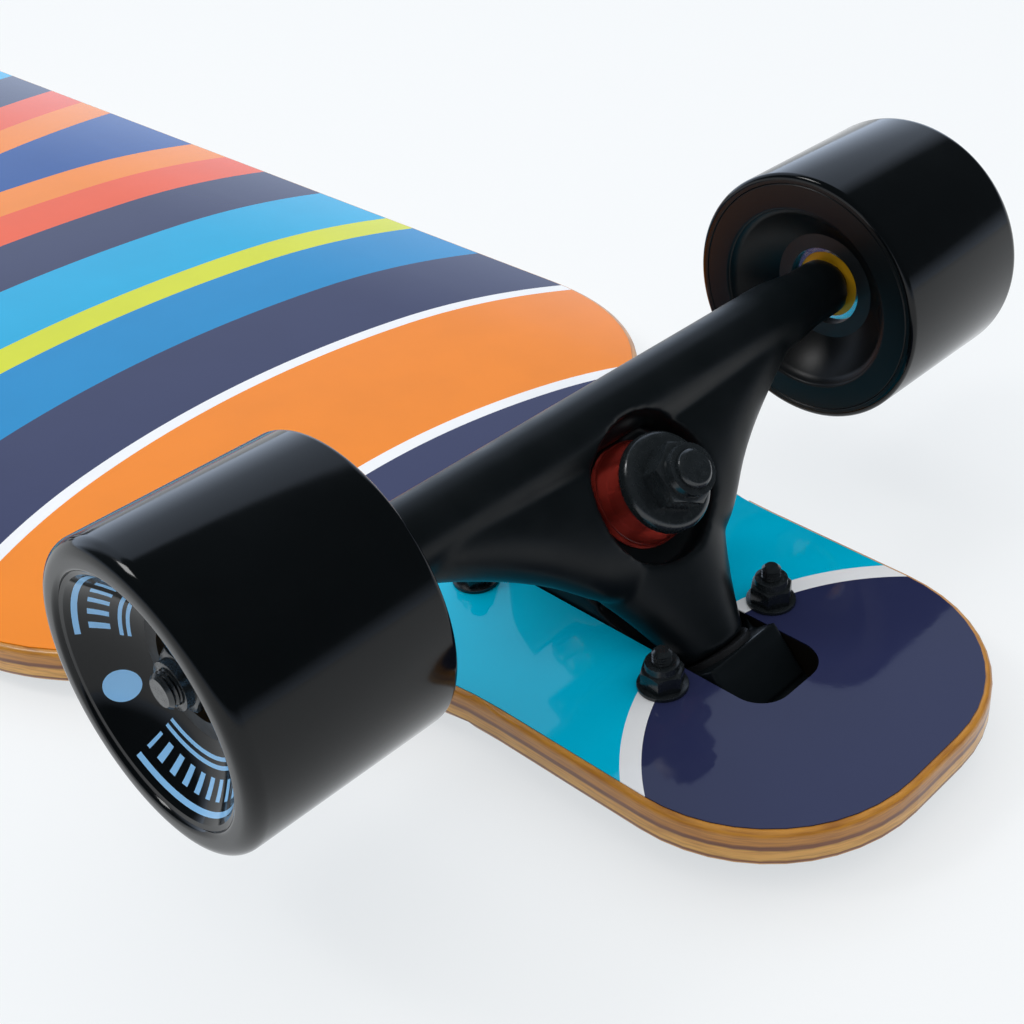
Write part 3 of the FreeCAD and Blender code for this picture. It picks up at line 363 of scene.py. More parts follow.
@dataclass(frozen=True)
class TyreFinish(Finish):
    """Cast polyurethane, black and polished by its mould, with arcs and ticks printed in the outer dish.

    The bands give radii where an ink starts and ends: red for plain lines, green for ticks. The axle's
    place is in metres.
    """

    axle_x: float = 0.0
    axle_z: float = 0.0
    satin: float = 0.36
    satin_width: float = 92.0
    satin_radius: float = 33.4
    print_from: float = 118.0
    ink: str = "#96d0ff"
    span: float = 58.0
    turn: float = 118.0
    ticks: int = 36
    tick_share: float = 0.42
    dot_radius: float = 3.4
    dot_from_axle: float = 22.4
    dial: float = 30.0
    bands: Stops = (
        (0.0, "#000000"), (17.6, "#ff0000"), (18.3, "#000000"), (19.0, "#ff0000"), (19.7, "#000000"),
        (21.2, "#00ff00"), (24.4, "#000000"), (25.7, "#ff0000"), (26.5, "#000000"))

    def from_axle(self, tree: Tree, spot: Socket) -> tuple[Node, Socket, Socket]:
        """Finds where a point is on the wheel.

        Args:
            tree: the material's tree.
            spot: the point.

        Returns:
            Its coordinates from the axle, and its distances from the axle's line and the board's middle.
        """
        moved = put(tree, "Mapping", {"Location": (-self.axle_x, 0.0, -self.axle_z)}, {"Vector": spot})
        axes = put(tree, "SeparateXYZ", {}, {"Vector": moved})
        flat = put(tree, "CombineXYZ", {}, {"X": axes.outputs["X"], "Z": axes.outputs["Z"]})
        distance = put(tree, "VectorMath", {"operation": "LENGTH"}, {0: flat})
        outward = put(tree, "Math", {"operation": "ABSOLUTE"}, {0: axes.outputs["Y"]})
        return axes, distance.outputs["Value"], outward.outputs[0]

    def gloss(self, tree: Tree, spot: Socket) -> Socket:
        """Polished, except for the inner side, which the mould leaves satin.

        Args:
            tree: the material's tree.
            spot: the point.

        Returns:
            The roughness.
        """
        polished = super().gloss(tree, spot)
        _axes, distance, outward = self.from_axle(tree, spot)
        inside = put(tree, "Math", {"operation": "LESS_THAN", 1: self.satin_width * MM}, {0: outward})
        face = put(tree, "Math", {"operation": "LESS_THAN", 1: self.satin_radius * MM}, {0: distance})
        both = put(tree, "Math", {"operation": "MULTIPLY"}, {0: inside, 1: face})
        return put(tree, "Mix", {VALUE_B: self.satin}, {0: both, VALUE_A: polished}).outputs[VALUE_OUT]

    def tint(self, tree: Tree, spot: Socket) -> Socket:
        """Black, with two opposite spans of lines and ticks, and a dot between them, in light ink.

        Args:
            tree: the material's tree.
            spot: the point.

        Returns:
            The colour.
        """
        axes, distance, outward = self.from_axle(tree, spot)
        share = put(tree, "Math", {"operation": "DIVIDE", 1: self.dial * MM}, {0: distance})
        stops = [(radius / self.dial, code) for radius, code in self.bands]
        rings = put(tree, "ValToRGB", {"stops": stops, "interpolation": "CONSTANT"}, {0: share})
        zones = put(tree, "SeparateColor", {}, {"Color": rings})
        angle = put(tree, "Math", {"operation": "ARCTAN2"}, {0: axes.outputs["Z"], 1: axes.outputs["X"]})
        parted = put(tree, "Math", {"operation": "SUBTRACT", 1: math.radians(self.turn)}, {0: angle})
        double = put(tree, "Math", {"operation": "MULTIPLY", 1: 2.0}, {0: parted})
        wave = put(tree, "Math", {"operation": "COSINE"}, {0: double})
        span_end = math.cos(2 * math.radians(self.span))
        spans = put(tree, "Math", {"operation": "GREATER_THAN", 1: span_end}, {0: wave})
        count = put(tree, "Math", {"operation": "MULTIPLY", 1: self.ticks / math.tau}, {0: parted})
        step = put(tree, "Math", {"operation": "FRACT"}, {0: count})
        tick = put(tree, "Math", {"operation": "LESS_THAN", 1: self.tick_share}, {0: step})
        scale = put(tree, "Math", {"operation": "MULTIPLY_ADD"},
                    {0: zones.outputs["Green"], 1: tick, 2: zones.outputs["Red"]})
        inked = put(tree, "Math", {"operation": "MULTIPLY"}, {0: scale, 1: spans})
        # The square of the distance from a dot: outwards from the axle, and sideways by the wave
        from_dot = put(tree, "Math", {"operation": "SUBTRACT", 1: self.dot_from_axle * MM}, {0: distance})
        outwards = put(tree, "Math", {"operation": "POWER", 1: 2.0}, {0: from_dot})
        sideways = put(tree, "Math", {"operation": "ADD", 1: 1.0}, {0: wave})
        away = put(tree, "Math", {"operation": "MULTIPLY_ADD", 1: (self.dot_from_axle * MM) ** 2 / 2},
                   {0: sideways, 2: outwards})
        dot = put(tree, "Math", {"operation": "LESS_THAN", 1: (self.dot_radius * MM) ** 2}, {0: away})
        drawn = put(tree, "Math", {"operation": "MAXIMUM"}, {0: inked, 1: dot})
        dish = put(tree, "Math", {"operation": "GREATER_THAN", 1: self.print_from * MM}, {0: outward})
        mask = put(tree, "Math", {"operation": "MULTIPLY"}, {0: drawn, 1: dish})
        return put(tree, "Mix", {"data_type": "RGBA", COLOUR_B: linear(self.ink)},
                   {0: mask, COLOUR_A: super().tint(tree, spot)}).outputs[COLOUR_OUT]


@dataclass(frozen=True)
class PaperFinish(Finish):
    """White seamless paper: lit as paper is, and seen almost evenly white, with its shadows left pale."""

    white: str = "#f8fcff"
    evenness: float = 0.68

    def seen(self, tree: Tree, lit: Socket) -> Socket:
        """The lit paper, mixed with plain white for the eye, in mirrors and through glass alike.

        Args:
            tree: the material's tree.
            lit: the lit surface.

        Returns:
            The mixed surface.
        """
        path = put(tree, "LightPath").outputs
        straight = put(tree, "Math", {"operation": "MAXIMUM"},
                       {0: path["Is Camera Ray"], 1: path["Is Glossy Ray"]})
        sight = put(tree, "Math", {"operation": "MAXIMUM"}, {0: straight, 1: path["Is Transmission Ray"]})
        share = put(tree, "Math", {"operation": "MULTIPLY", 1: self.evenness}, {0: sight})
        glow = put(tree, "Emission", {"Color": linear(self.white), "Strength": 1.0})
        return put(tree, "MixShader", {}, {0: share, 1: lit, 2: glow}).outputs["Shader"]


# Maple plywood, edge routed, sanded and clear-coated: warm gold with a soft shine
PLYWOOD = PlywoodFinish("maple_plywood_clear_coated", "#d09a42", "#b87f30", 0.38, grain=0.6, relief=0.02,
                        sockets=(("Coat Weight", 0.35), ("Coat Roughness", 0.15)))
# Screen-printed film, lacquered: flat strong inks that mirror what stands on them
PRINT = PrintFinish("printed_film_lacquered", "#2b3052", "#30355a", 0.06, spread=0.02, blotch=26.0,
                    grain=5.0, relief=0.012, sockets=(("Specular IOR Level", 0.35),))
# Grip tape, silicon carbide grit on film: matt, almost black, with a few painted glints
GRIP = GripFinish("grip_tape_grit", "#0d0e0f", "#1b1c1e", 0.92, spread=0.04, grain=0.6, relief=0.35)
# Die-cast aluminium with a black electro-coat: a smooth satin skin with a faint orange peel
CASTING = Finish("aluminium_casting_black_coat", "#0b0f11", "#111619", 0.34, blotch=18.0, grain=1.6,
                 relief=0.006, sockets=(("Specular IOR Level", 0.22),))
# Steel with black oxide and oil: deep black, with sharp highlights on its edges
BLACK_STEEL = Finish("steel_black_oxide_oiled", "#191d1f", "#262b2e", 0.24, spread=0.07, metallic=0.2,
                     blotch=3.0, grain=0.4, relief=0.006, sockets=(("Specular IOR Level", 0.8),))
# Steel with bright zinc plating: pale grey, slightly brushed
ZINC = Finish("steel_zinc_plated", "#b9bcbf", "#9a9da0", 0.30, spread=0.07, metallic=1.0, blotch=4.0,
              grain=0.5, relief=0.004)
# Ground and polished bearing steel: bright and even
BEARING_STEEL = Finish("bearing_steel_ground", "#d5d7d9", "#c1c4c7", 0.16, spread=0.04, metallic=1.0,
                       blotch=3.0, grain=0.3, relief=0.002)
# Pressed steel with a gold-coloured plating: warm yellow metal with soft reflections
GOLD = Finish("steel_gold_plated_pressed", "#f2ba26", "#dda018", 0.34, spread=0.06, metallic=0.3, blotch=3.0,
              grain=0.4, relief=0.004)
# Acetal, turned and then worn by the pivot: black with a dull sheen
ACETAL = Finish("acetal_black_moulded", "#151617", "#1f2022", 0.45, blotch=5.0, grain=0.5, relief=0.006)
# Polyurethane, cast clear red: light goes in at one face and comes out glowing at another
RED_URETHANE = Finish("polyurethane_red_cast_clear", "#c4463a", "#902a23", 0.18, spread=0.04, blotch=6.0,
                      grain=2.0, relief=0.004, sockets=(("Transmission Weight", 0.7), ("IOR", 1.48)))
# Nylon with glass fibre, injection moulded: black hub with a fine dull grain
NYLON = Finish("nylon_black_moulded", "#101113", "#191b1d", 0.42, blotch=5.0, grain=0.5, relief=0.01)
# Seamless paper, uncoated: matt and white
PAPER = PaperFinish("paper_white_matt", "#f7f6f4", "#f3f2f0", 0.9, blotch=400.0, relief=0.0)


# Places and mesh tools


BODY_OF = {node: body for body, nodes in frame["record"]["behaviour"]["bodies"].items() for node in nodes}
MERGE = 0.002 * MM
# Angles in degrees: faces that count as one, edges that get broken, and edges that stay sharp to the eye
FLAT, BROKEN, CREASE = 0.5, 35.0, 32.0
# The share of a thread's pitch that each flank takes
FLANK = 0.45
# How strongly each pass draws a casting's skin together
FLOW = 0.5


def joint_place(name: str) -> tuple[Vector, Vector]:
    """Finds where a joint is.

    Args:
        name: the joint's name in the record.

    Returns:
        Its point and its axis.
    """
    joints = frame["record"]["behaviour"]["joints"]
    found = next(item for item in joints if item["name"] == name)
    return Vector(found["pos_m"]), Vector(found["axis"])


def upright(origin: Vector, along: Vector) -> Matrix:
    """A frame at a point, with its Z along a direction."""
    return Matrix.Translation(origin) @ along.to_track_quat("Z", "Y").to_matrix().to_4x4()


def start_clean() -> None:
    """Deselects every object before a new piece is started."""
    bpy.ops.object.select_all(action="DESELECT")


def settle(piece: Piece, name: str, place: Matrix, crease: float) -> Piece:
    """Ends a piece's edit: faces outward, its place in its mesh, smooth except at creases.

    Args:
        piece: the piece, in edit mode.
        name: its name.
        place: the frame that it was modelled in.
        crease: the angle in degrees from which an edge stays sharp.

    Returns:
        The piece.
    """
    bpy.ops.mesh.select_all(action="SELECT")
    bpy.ops.mesh.normals_make_consistent(inside=False)
    bpy.ops.object.mode_set(mode="OBJECT")
    piece.matrix_world = place @ piece.matrix_world
    bpy.ops.object.transform_apply(location=True, rotation=True, scale=True)
    bpy.ops.object.shade_smooth_by_angle(angle=math.radians(crease))
    piece.name = name
    piece.data.name = name
    return piece


def turned(name: str, profile: Sequence[Point], place: Matrix, work: Work = Work.BORED, sides: int = 96,
           crease: float = CREASE) -> Piece:
    """Lathe work: draws a circle out through the points of a profile round the Z axis.

    Args:
        name: the piece's name.
        profile: radius and height of each point, in millimetres.
        place: the frame that the profile stands in.
        work: how the piece is closed.
        sides: how many faces go round.
        crease: the angle in degrees from which an edge stays sharp.

    Returns:
        The piece.
    """
    start_clean()
    radius, height = profile[0]
    bpy.ops.mesh.primitive_circle_add(vertices=sides, radius=radius * MM, location=(0, 0, height * MM),
                                      enter_editmode=True)
    piece = bpy.context.object
    for (radius, height), (next_radius, next_height) in zip(profile, profile[1:]):
        rise = (next_height - height) * MM
        bpy.ops.mesh.extrude_region_move(TRANSFORM_OT_translate={"value": (0, 0, rise)})
        grow = next_radius / radius
        bpy.ops.transform.resize(value=(grow, grow, 1), center_override=(0, 0, 0))
    bpy.ops.mesh.select_all(action="DESELECT")
    bpy.ops.mesh.select_non_manifold()
    if work is Work.BORED:
        bpy.ops.mesh.bridge_edge_loops()
    else:
        bpy.ops.mesh.select_all(action="SELECT")
        bpy.ops.mesh.fill_holes(sides=0)
    return settle(piece, name, place, crease)


def bend(centre: Point, radius: float, start: float, end: float, steps: int = 6) -> list[Point]:
    """Points of an arc in a profile.

    Args:
        centre: the arc's centre, as radius and height.
        radius: the arc's radius.
        start: its first angle in degrees, from the outward direction towards the height.
        end: its last angle in degrees.
        steps: how many pieces it has.

    Returns:
        The points from start to end.
    """
    angles = [math.radians(start + (end - start) * k / steps) for k in range(steps + 1)]
    return [(centre[0] + radius * math.cos(a), centre[1] + radius * math.sin(a)) for a in angles]


def thread(radius: float, pitch: float, depth: float, start: float, end: float) -> list[Point]:
    """Ridges of a cut thread, one for each pitch.

    Args:
        radius: the thread's outer radius.
        pitch: the distance from ridge to ridge.
        depth: how deep it is cut.
        start: the height where it starts.
        end: the height where it ends.

    Returns:
        Profile points from start to end.
    """
    turns = max(1, int(abs(end - start) / pitch))
    step = (end - start) / turns
    points = [(radius, start)]
    for turn in range(turns):
        low = start + step * turn
        root = radius - depth
        points += [(root, low + FLANK * step), (root, low + (1 - FLANK) * step), (radius, low + step)]
    return points


def joined(name: str, pieces: Sequence[Piece]) -> Piece:
    """Makes one object of several loose pieces.

    Args:
        name: the object's name.
        pieces: what it is made of.

    Returns:
        The object.
    """
    start_clean()
    for piece in pieces:
        piece.select_set(True)
    bpy.context.view_layer.objects.active = pieces[0]
    bpy.ops.object.join()
    pieces[0].name = name
    pieces[0].data.name = name
    return pieces[0]


def copy_of(name: str, node: str) -> Piece:
    """A merged copy of a frame node, in edit mode and selected all over.

    Args:
        name: the copy's name.
        node: the node.

    Returns:
        The copy.
    """
    start_clean()
    mesh = frame["nodes"][node].data.copy()
    mesh.materials.clear()
    piece = bpy.data.objects.new(name, mesh)
    bpy.context.scene.collection.objects.link(piece)
    bpy.context.view_layer.objects.active = piece
    piece.select_set(True)
    bpy.ops.mesh.customdata_custom_splitnormals_clear()
    bpy.ops.object.mode_set(mode="EDIT")
    bpy.ops.mesh.select_all(action="SELECT")
    bpy.ops.mesh.remove_doubles(threshold=MERGE)
    return piece


def cast(name: str, node: str, voxel: float, passes: int) -> Piece:
    """A casting: the node's shape with every edge flowing into the next, as poured metal has.

    Args:
        name: the piece's name.
        node: the node that it copies.
        voxel: the size of the skin's cells, in millimetres.
        passes: how often the skin is smoothed.

    Returns:
        The piece.
    """
    piece = copy_of(name, node)
    bpy.ops.object.mode_set(mode="OBJECT")
    skin = piece.modifiers.new("skin", "REMESH")
    skin.mode = "VOXEL"
    skin.voxel_size = voxel * MM
    bpy.ops.object.modifier_apply(modifier=skin.name)
    flow = piece.modifiers.new("flow", "SMOOTH")
    flow.factor = FLOW
    flow.iterations = passes
    bpy.ops.object.modifier_apply(modifier=flow.name)
    bpy.ops.object.shade_smooth()
    return piece


def broken_edges(name: str, node: str, width: float, steps: int = 2) -> Piece:
    """A machined piece: the node's shape with its sharp edges broken.

    Args:
        name: the piece's name.
        node: the node that it copies.
        width: how wide the broken edge is, in millimetres.
        steps: how many faces the edge is rounded with.

    Returns:
        The piece.
    """
    piece = copy_of(name, node)
    bpy.ops.mesh.dissolve_limited(angle_limit=math.radians(FLAT))
    bpy.ops.object.mode_set(mode="OBJECT")
    edge = piece.modifiers.new("edge", "BEVEL")
    edge.width = width * MM
    edge.segments = steps
    edge.limit_method = "ANGLE"
    edge.angle_limit = math.radians(BROKEN)
    bpy.ops.object.modifier_apply(modifier=edge.name)
    bpy.ops.object.shade_smooth_by_angle(angle=math.radians(CREASE))
    return piece


def install(piece: Piece, node: str, finish: Finish) -> None:
    """Puts a piece in a node's stead: on its body and a finish.

    Args:
        piece: the piece.
        node: the node that it stands for.
        finish: its finish.
    """
    piece.data.materials.clear()
    piece.data.materials.append(finish.material())
    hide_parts(node)
    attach(piece, BODY_OF[node])
    LOG.info("%s stands for %s, %d faces", piece.name, node, len(piece.data.polygons))


def coat(node: str, finish: Finish) -> None:
    """Gives a frame node that stays in sight its finish.

    Args:
        node: the node.
        finish: its finish.
    """
    mesh = frame["nodes"][node].data
    mesh.materials.clear()
    mesh.materials.append(finish.material())
    LOG.info("%s keeps its shape, in %s", node, finish.name)


# Sub-assemblies


@dataclass
class Deck:
    """The board with its printed film and its grip tape."""

    def dress(self) -> None:
        """Finishes the three layers."""
        for node, finish in (("deck", PLYWOOD), ("deck_print", PRINT), ("grip_tape", GRIP)):
            coat(node, finish)


@dataclass
class Truck:
    """One steering truck: castings, kingpin stack, axle and mounting hardware. Lengths in millimetres."""

    end: End
    voxel: float = 0.7
    hanger_flow: int = 18
    base_flow: int = 6
    edge: float = 0.35
    nut_edge: float = 0.7
    edge_steps: int = 3
    bolt_radius: float = 2.4
    bolt_head_radius: float = 4.7
    bolt_head_height: float = 2.6
    bolt_head_rim: float = 0.4
    bolt_pitch: float = 0.8
    bolt_plain: float = 14.0
    bolt_sides: int = 32
    thread_depth: float = 0.42
    thread_start: float = 0.2
    axle_radius: float = 4.0
    axle_pitch: float = 1.0
    axle_thread: float = 14.0
    axle_sides: int = 48
    tip_chamfer: float = 0.8
    bushing_radius: float = 13.2
    bushing_tip: float = 11.3
    bushing_bore: float = 5.0
    bushing_start: float = 5.1
    bushing_height: float = 13.0
    bushing_lip: float = 3.2
    bushing_waist: float = 12.4
    bushing_round: float = 0.7
    washer_radius: float = 12.3
    washer_thickness: float = 2.0
    washer_bore: float = 5.0
    washer_shoulder: float = 2.0
    washer_steps: int = 8
    washer_crease: float = 50.0
    washer_skirt: float = 1.5
    washer_wall: float = 0.8

    def node(self, piece: str) -> str:
        """The name of one of this truck's nodes."""
        return f"{self.end.value}_{piece}"

    def kingpin_place(self) -> Matrix:
        """Finds the frame at the ring's middle, with Z along the kingpin towards its nut.

        Returns:
            The frame.
        """
        ring, pivot = joint_place(f"{self.end.value}_steer")
        along = Vector((0, 1, 0)).cross(pivot)
        return upright(ring, along if along.z > 0 else -along)

    def build(self) -> None:
        """Makes and dresses every piece of the truck."""
        self.castings()
        self.kingpin_stack()
        self.mounting()
        self.axle_line()

    def castings(self) -> None:
        """The hanger and the baseplate, as castings with flowing edges."""
        for piece, flow in (("hanger", self.hanger_flow), ("baseplate", self.base_flow)):
            node = self.node(piece)
            install(cast(f"{node}_casting", node, self.voxel, flow), node, CASTING)
        coat(self.node("pivot_cup"), ACETAL)

    def kingpin_stack(self) -> None:
        """Kingpin, nut, cup washers and the two elastic bushings."""
        for piece, width in (("kingpin", self.edge), ("kingpin_nut", self.nut_edge)):
            node = self.node(piece)
            install(broken_edges(f"{node}_machined", node, width, self.edge_steps), node, BLACK_STEEL)
        place = self.kingpin_place()
        top = self.bushing_start + self.bushing_height
        self.washer("roadside_washer", place @ Matrix.Translation((0, 0, top * MM)), self.washer_skirt)
        turned_over = Matrix.Translation((0, 0, -top * MM)) @ Matrix.Rotation(math.pi, 4, "X")
        self.washer("boardside_washer", place @ turned_over, 0.0)
        radius, tip, round_ = self.bushing_radius, self.bushing_tip, self.bushing_round
        lip = self.bushing_start + self.bushing_lip
        cone = [(self.bushing_bore, self.bushing_start),
                *bend((radius - round_, self.bushing_start + round_), round_, -90, 0),
                *bend((radius - round_, lip - round_), round_, 0, 60),
                (self.bushing_waist, lip + 2 * round_),
                *bend((tip - round_, top - round_), round_, 10, 90),
                (self.bushing_bore, top)]
        barrel = [(self.bushing_bore, -top),
                  *bend((radius - round_, -top + round_), round_, -90, 0),
                  *bend((radius - round_, -top + self.bushing_lip), round_, 0, 60),
                  (self.bushing_waist, -top + self.bushing_lip + 2 * round_),
                  (self.bushing_waist, -lip - 2 * round_),
                  *bend((radius - round_, -lip), round_, -60, 0),
                  *bend((radius - round_, -self.bushing_start - round_), round_, 0, 90),
                  (self.bushing_bore, -self.bushing_start)]
        self.bushing("roadside_bushing", cone, place)
        self.bushing("boardside_bushing", barrel, place)

    def washer(self, piece: str, place: Matrix, skirt: float) -> None:
        """A pressed cup washer with a rounded shoulder, and a skirt round the bushing's end.

        Args:
            piece: its plain name.
            place: the frame at its face on the bushing, with Z away from the bushing.
            skirt: how far its rim reaches over the bushing.
        """
        node, radius, wall = self.node(piece), self.washer_radius, self.washer_wall
        shoulder = (radius - self.washer_shoulder, self.washer_thickness - self.washer_shoulder)
        rim = [(radius - wall, 0.0), (radius - wall, -skirt)] if skirt else []
        profile = [(self.washer_bore, 0.0), *rim, (radius, -skirt),
                   *bend(shoulder, self.washer_shoulder, 0, 90, self.washer_steps),
                   (self.washer_bore, self.washer_thickness)]
        install(turned(f"{node}_pressed", profile, place, crease=self.washer_crease), node, BLACK_STEEL)

    def bushing(self, piece: str, profile: Sequence[Point], place: Matrix) -> None:
        """An elastic bushing, turned from its section round the kingpin; it stays where it was made, and
        nothing ties its ends to the board or the hanger.

        Args:
            piece: its plain name.
            profile: its section.
            place: the kingpin's frame.
        """
        node = self.node(piece)
        made = turned(f"{node}_elastic", profile, place)
        made.data.materials.append(RED_URETHANE.material())
        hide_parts(node)
        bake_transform(made)
        LOG.info("%s bends between the board and the hanger", made.name)

    def mounting(self) -> None:
        """Threaded bolts, washers and lock nuts that hold the baseplate."""
        node = self.node("mounting_bolts")
        low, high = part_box(node)
        reach = self.bolt_head_radius * MM
        tip, base = (high.z - low.z) / MM, self.tip_chamfer
        profile = [(self.bolt_head_radius, 0.0), (self.bolt_head_radius, self.bolt_head_rim),
                   (self.bolt_radius, self.bolt_head_height), (self.bolt_radius, self.bolt_plain),
                   *thread(self.bolt_radius, self.bolt_pitch, self.thread_depth,
                           self.bolt_plain + self.thread_start, tip - base),
                   (self.bolt_radius - base, tip)]
        spots = [(x, y) for x in (low.x + reach, high.x - reach) for y in (low.y + reach, high.y - reach)]
        bolts = [turned(f"bolt_{k}", profile, Matrix.Translation((x, y, low.z)), Work.SOLID, self.bolt_sides)
                 for k, (x, y) in enumerate(spots)]
        install(joined(f"{node}_threaded", bolts), node, BLACK_STEEL)
        for piece in ("mounting_nuts", "mounting_washers"):
            node = self.node(piece)
            install(broken_edges(f"{node}_machined", node, self.edge / 2), node, BLACK_STEEL)

    def axle_line(self) -> None:
        """The threaded axle and the hardware that stays with the hanger."""
        node = self.node("axle")
        low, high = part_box(node)
        place = upright((low + high) / 2, Vector((0, 1, 0)))
        half = (high.y - low.y) / 2 / MM
        inner, base = half - self.axle_thread, self.tip_chamfer
        end = [*thread(self.axle_radius, self.axle_pitch, self.thread_depth, inner, half - base),
               (self.axle_radius - base, half)]
        profile = [(radius, -height) for radius, height in reversed(end)] + end
        rod = turned(f"{node}_threaded", profile, place, Work.SOLID, self.axle_sides)
        install(rod, node, BLACK_STEEL)
        nuts = self.node("axle_nuts")
        install(broken_edges(f"{nuts}_machined", nuts, self.edge), nuts, BLACK_STEEL)
        for piece, finish in (("speed_rings", ZINC), ("bearing_spacers", ZINC),
                              ("bearing_inner_rings", BEARING_STEEL)):
            coat(self.node(piece), finish)


@dataclass
class Wheel:
    """One wheel: its tyre, hub and two shielded bearings. Lengths in millimetres."""

    end: End
    side: Side
    radius: float = 35.0
    width: float = 51.0
    core_radius: float = 15.0
    core_low: float = 9.8
    core_high: float = 39.5
    bowl_radius: float = 24.8
    bowl_round: float = 0.96
    dish_radius: float = 28.5
    outer_round: float = 3.6
    inner_round: float = 1.4
    rim_round: float = 1.2
    rim_steps: int = 4
    mould_ring: float = 32.6
    mould_step: float = 0.25
    outer_steps: int = 10
    sides: int = 160

    def node(self, piece: str) -> str:
        """The name of one of this wheel's nodes."""
        return f"{self.end.value}_{self.side.name.lower()}_{piece}"

    def hollow(self, rim: float, rim_height: float, floor: float, steps: int = 14) -> list[Point]:
        """A round hollow from its rim down to the hub.

        Args:
            rim: the rim's radius.
            rim_height: the rim's height.
            floor: the height where it meets the hub.
            steps: how many pieces it has.

        Returns:
            Profile points from the rim to the hub.
        """
        depth = floor - rim_height
        centre = (self.core_radius ** 2 - rim ** 2 + depth ** 2) / (2 * depth)
        sphere = math.hypot(rim, centre)
        turn = 1.0 if depth > 0 else -1.0
        points = []
        for k in range(steps + 1):
            radius = rim + (self.core_radius - rim) * k / steps
            points.append((radius, rim_height + centre + turn * math.sqrt(sphere ** 2 - radius ** 2)))
        return points

    def profile(self) -> list[Point]:
        """Draws the tyre's section, from the hub round its inner side and tread to the hub again.

        Returns:
            Profile points, with heights from the inner side.
        """
        ring, step, soft, low = self.mould_ring, self.mould_step, self.rim_round, self.bowl_round
        inner, outer, top = self.inner_round, self.outer_round, self.width
        bowl = self.hollow(self.bowl_radius, 0.0, self.core_low)
        dish = self.hollow(self.dish_radius, top, self.core_high)
        return [*reversed(bowl[1:]), *bend((self.bowl_radius + soft, low), low, 200, 270, self.rim_steps),
                (ring - 2 * step, 0.0), (ring - step, step), (ring, 0.0),
                *bend((self.radius - inner, inner), inner, -90, 0),
                *bend((self.radius - outer, top - outer), outer, 0, 90, self.outer_steps),
                *bend((self.dish_radius + soft, top - soft), soft, 90, 170, self.rim_steps), *dish[1:]]

    def build(self) -> None:
        """Makes and dresses every piece of the wheel."""
        node = self.node("tyre")
        middle, _axis = joint_place(self.node("wheel_spin"))
        across = Vector((0, self.side.value, 0))
        place = upright(middle - across * self.width / 2 * MM, across)
        # Polyurethane, cast black: polished tread, satin inside, light blue print
        urethane = TyreFinish(f"polyurethane_black_cast_{self.end.value}", "#060809", "#0b0e10", 0.10,
                              spread=0.03, blotch=16.0, grain=4.0, relief=0.004,
                              sockets=(("Specular IOR Level", 0.3),), axle_x=middle.x, axle_z=middle.z)
        install(turned(f"{node}_cast", self.profile(), place, sides=self.sides), node, urethane)
        for piece, finish in (("wheel_core", NYLON), ("bearing_outer_rings", BEARING_STEEL),
                              ("bearing_shields", GOLD), ("ball_sets", BEARING_STEEL)):
            coat(self.node(piece), finish)


# Studio


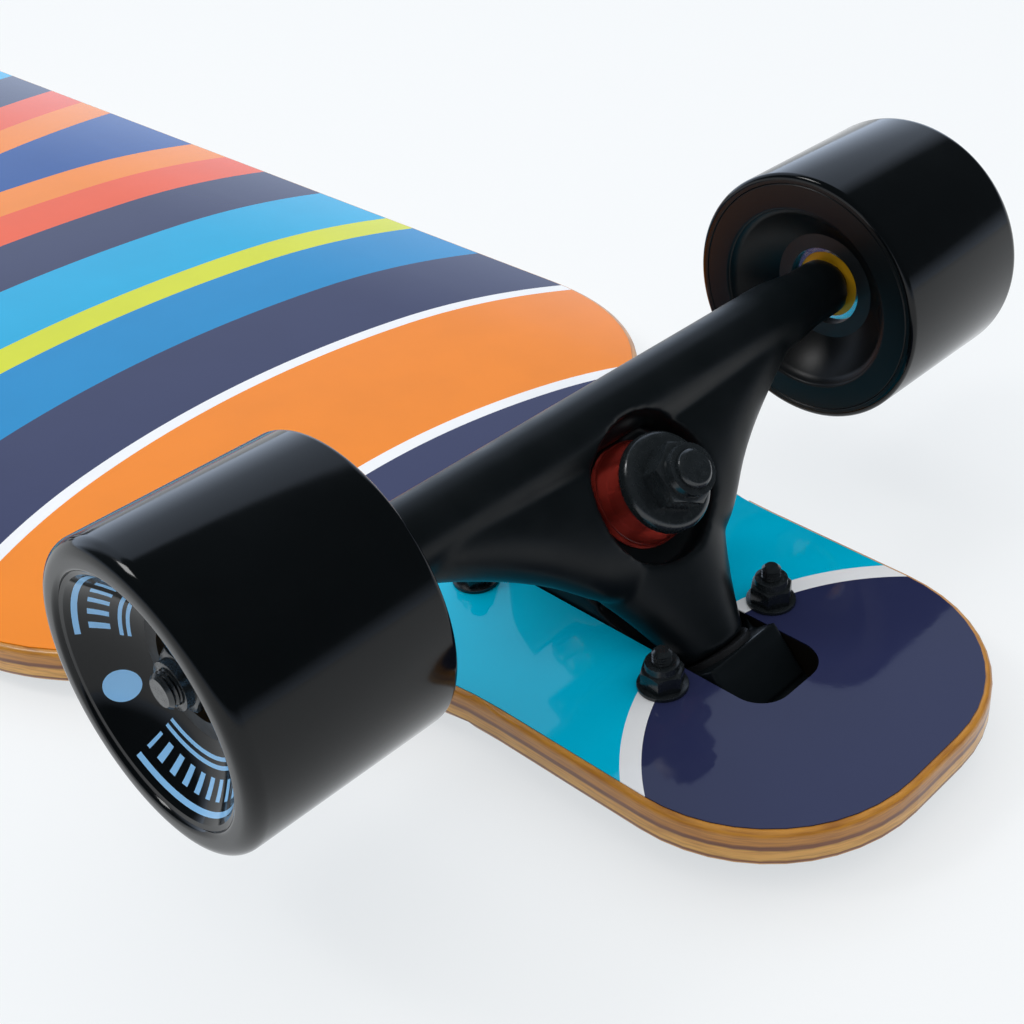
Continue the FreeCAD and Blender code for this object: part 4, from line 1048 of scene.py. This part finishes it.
@dataclass
class Studio:
    """Floor, soft light and the camera at the photograph's angle. Lengths in metres, angles in degrees."""

    floor_size: float = 40.0
    floor_gap: float = 0.0002
    backdrop_colour: str = "#d3e2f8"
    backdrop_turn: float = 152.0
    backdrop_half: float = 42.0
    backdrop_fade: float = 12.0
    backdrop_top: float = 48.0
    top_fade: float = 3.0
    foot_top: float = 26.0
    foot_gain: float = 1.2
    skirting_top: float = 9.0
    room_colour: str = "#40464b"
    box_at: Spot = (0.15, 0.15, 1.5)
    box_size: float = 4.0
    box_power: float = 54.0
    window_at: Spot = (-0.43, -0.69, 1.24)
    window_size: float = 0.35
    window_power: float = 4.0
    camera_at: Spot = (0.6137, -0.2283, 0.2631)
    camera_aim: Spot = (0.3589, 0.0117, 0.0400)
    roll: float = -4.387
    sensor: float = 36.0
    lens: float = 54.99
    shift: Point = (-0.0303, -0.0645)
    clip_start: float = 0.01

    def build(self) -> None:
        """Sets the floor, the light, the camera and the view transform."""
        self.floor()
        self.light()
        self.camera()
        bpy.context.scene.view_settings.view_transform = "Standard"

    def floor(self) -> None:
        """A sheet of pale paper that the board lies on."""
        start_clean()
        bpy.ops.mesh.primitive_plane_add(size=self.floor_size, location=(0, 0, CAD_BOX[0].z - self.floor_gap))
        sheet = bpy.context.object
        sheet.name = "floor"
        sheet.data.materials.append(PAPER.material())

    def light(self) -> None:
        """A dim room with a pale backdrop, a wide soft box overhead and a small window for highlights."""
        self.room()
        box = self.lamp("soft_box", self.box_at, Vector((0, 0, -1)), self.box_size, self.box_power)
        box.visible_glossy = False
        to_truck = Vector(self.camera_aim) - Vector(self.window_at)
        self.lamp("window", self.window_at, to_truck, self.window_size, self.window_power)

    def lamp(self, name: str, at: Spot, facing: Vector, size: float, power: float) -> Piece:
        """A square lamp that the camera doesn't see.

        Args:
            name: the lamp's name.
            at: where it is.
            facing: the direction that it shines in.
            size: the length of its sides.
            power: its power in watts.

        Returns:
            The lamp.
        """
        start_clean()
        turn = facing.to_track_quat("-Z", "Y").to_euler()
        bpy.ops.object.light_add(type="AREA", location=at, rotation=turn)
        lamp = bpy.context.object
        lamp.name = name
        lamp.data.shape = "SQUARE"
        lamp.data.size = size
        lamp.data.energy = power
        lamp.visible_camera = False
        return lamp

    def room(self) -> None:
        """The world: a dim room with a pale backdrop behind the board and a pale skirting round it."""
        world = bpy.data.worlds.new("studio")
        bpy.context.scene.world = world
        world.use_nodes = True
        tree = world.node_tree
        tree.nodes.clear()
        way = put(tree, "TexCoord").outputs["Generated"]
        height = put(tree, "SeparateXYZ", {}, {"Vector": way}).outputs["Z"]
        top, rim, foot_rim, skirting_rim = (math.sin(math.radians(angle)) for angle in (
            self.backdrop_top, self.backdrop_top + self.top_fade, self.foot_top, self.skirting_top))
        side, edge = (math.cos(math.radians(angle)) for angle in (
            self.backdrop_half, self.backdrop_half + self.backdrop_fade))
        turn = math.radians(self.backdrop_turn)
        middle = (math.cos(turn), math.sin(turn), 0)
        level = put(tree, "VectorMath", {"operation": "MULTIPLY", 1: (1, 1, 0)}, {0: way})
        round_about = put(tree, "VectorMath", {"operation": "NORMALIZE"}, {0: level})
        facing = put(tree, "VectorMath", {"operation": "DOT_PRODUCT", 1: middle}, {0: round_about})
        behind = put(tree, "MapRange", {"From Min": edge, "From Max": side},
                     {"Value": facing.outputs["Value"]})
        below = put(tree, "MapRange", {"From Min": rim, "From Max": top}, {"Value": height})
        panel = put(tree, "Math", {"operation": "MULTIPLY"}, {0: behind, 1: below})
        skirting = put(tree, "MapRange", {"From Min": skirting_rim, "From Max": 0.0}, {"Value": height})
        share = put(tree, "Math", {"operation": "MAXIMUM"}, {0: panel, 1: skirting})
        sky = put(tree, "Mix", {"data_type": "RGBA", COLOUR_A: linear(self.room_colour),
                                COLOUR_B: linear(self.backdrop_colour)}, {0: share})
        foot = put(tree, "MapRange", {"From Min": foot_rim, "From Max": 0.0, "To Max": self.foot_gain},
                   {"Value": height})
        strength = put(tree, "Math", {"operation": "MULTIPLY_ADD", 2: 1.0}, {0: foot, 1: behind})
        glow = put(tree, "Background", {}, {"Color": sky.outputs[COLOUR_OUT], "Strength": strength})
        put(tree, "OutputWorld", {}, {"Surface": glow})

    def camera(self) -> None:
        """The photograph's camera."""
        start_clean()
        at, aim = Vector(self.camera_at), Vector(self.camera_aim)
        turn = (aim - at).to_track_quat("-Z", "Y") @ Quaternion((0, 0, 1), math.radians(self.roll))
        bpy.ops.object.camera_add(location=at, rotation=turn.to_euler())
        camera = bpy.context.object
        camera.data.sensor_width = self.sensor
        camera.data.lens = self.lens
        camera.data.shift_x, camera.data.shift_y = self.shift
        camera.data.clip_start = self.clip_start
        bpy.context.scene.camera = camera


def main() -> None:
    """Builds and dresses the board, its trucks and its wheels, then the studio."""
    logging.basicConfig(level=logging.INFO, format="%(name)s: %(message)s")
    Deck().dress()
    for end in End:
        Truck(end).build()
        for side in Side:
            Wheel(end, side).build()
    Studio().build()


if __name__ == "__main__":
    main()
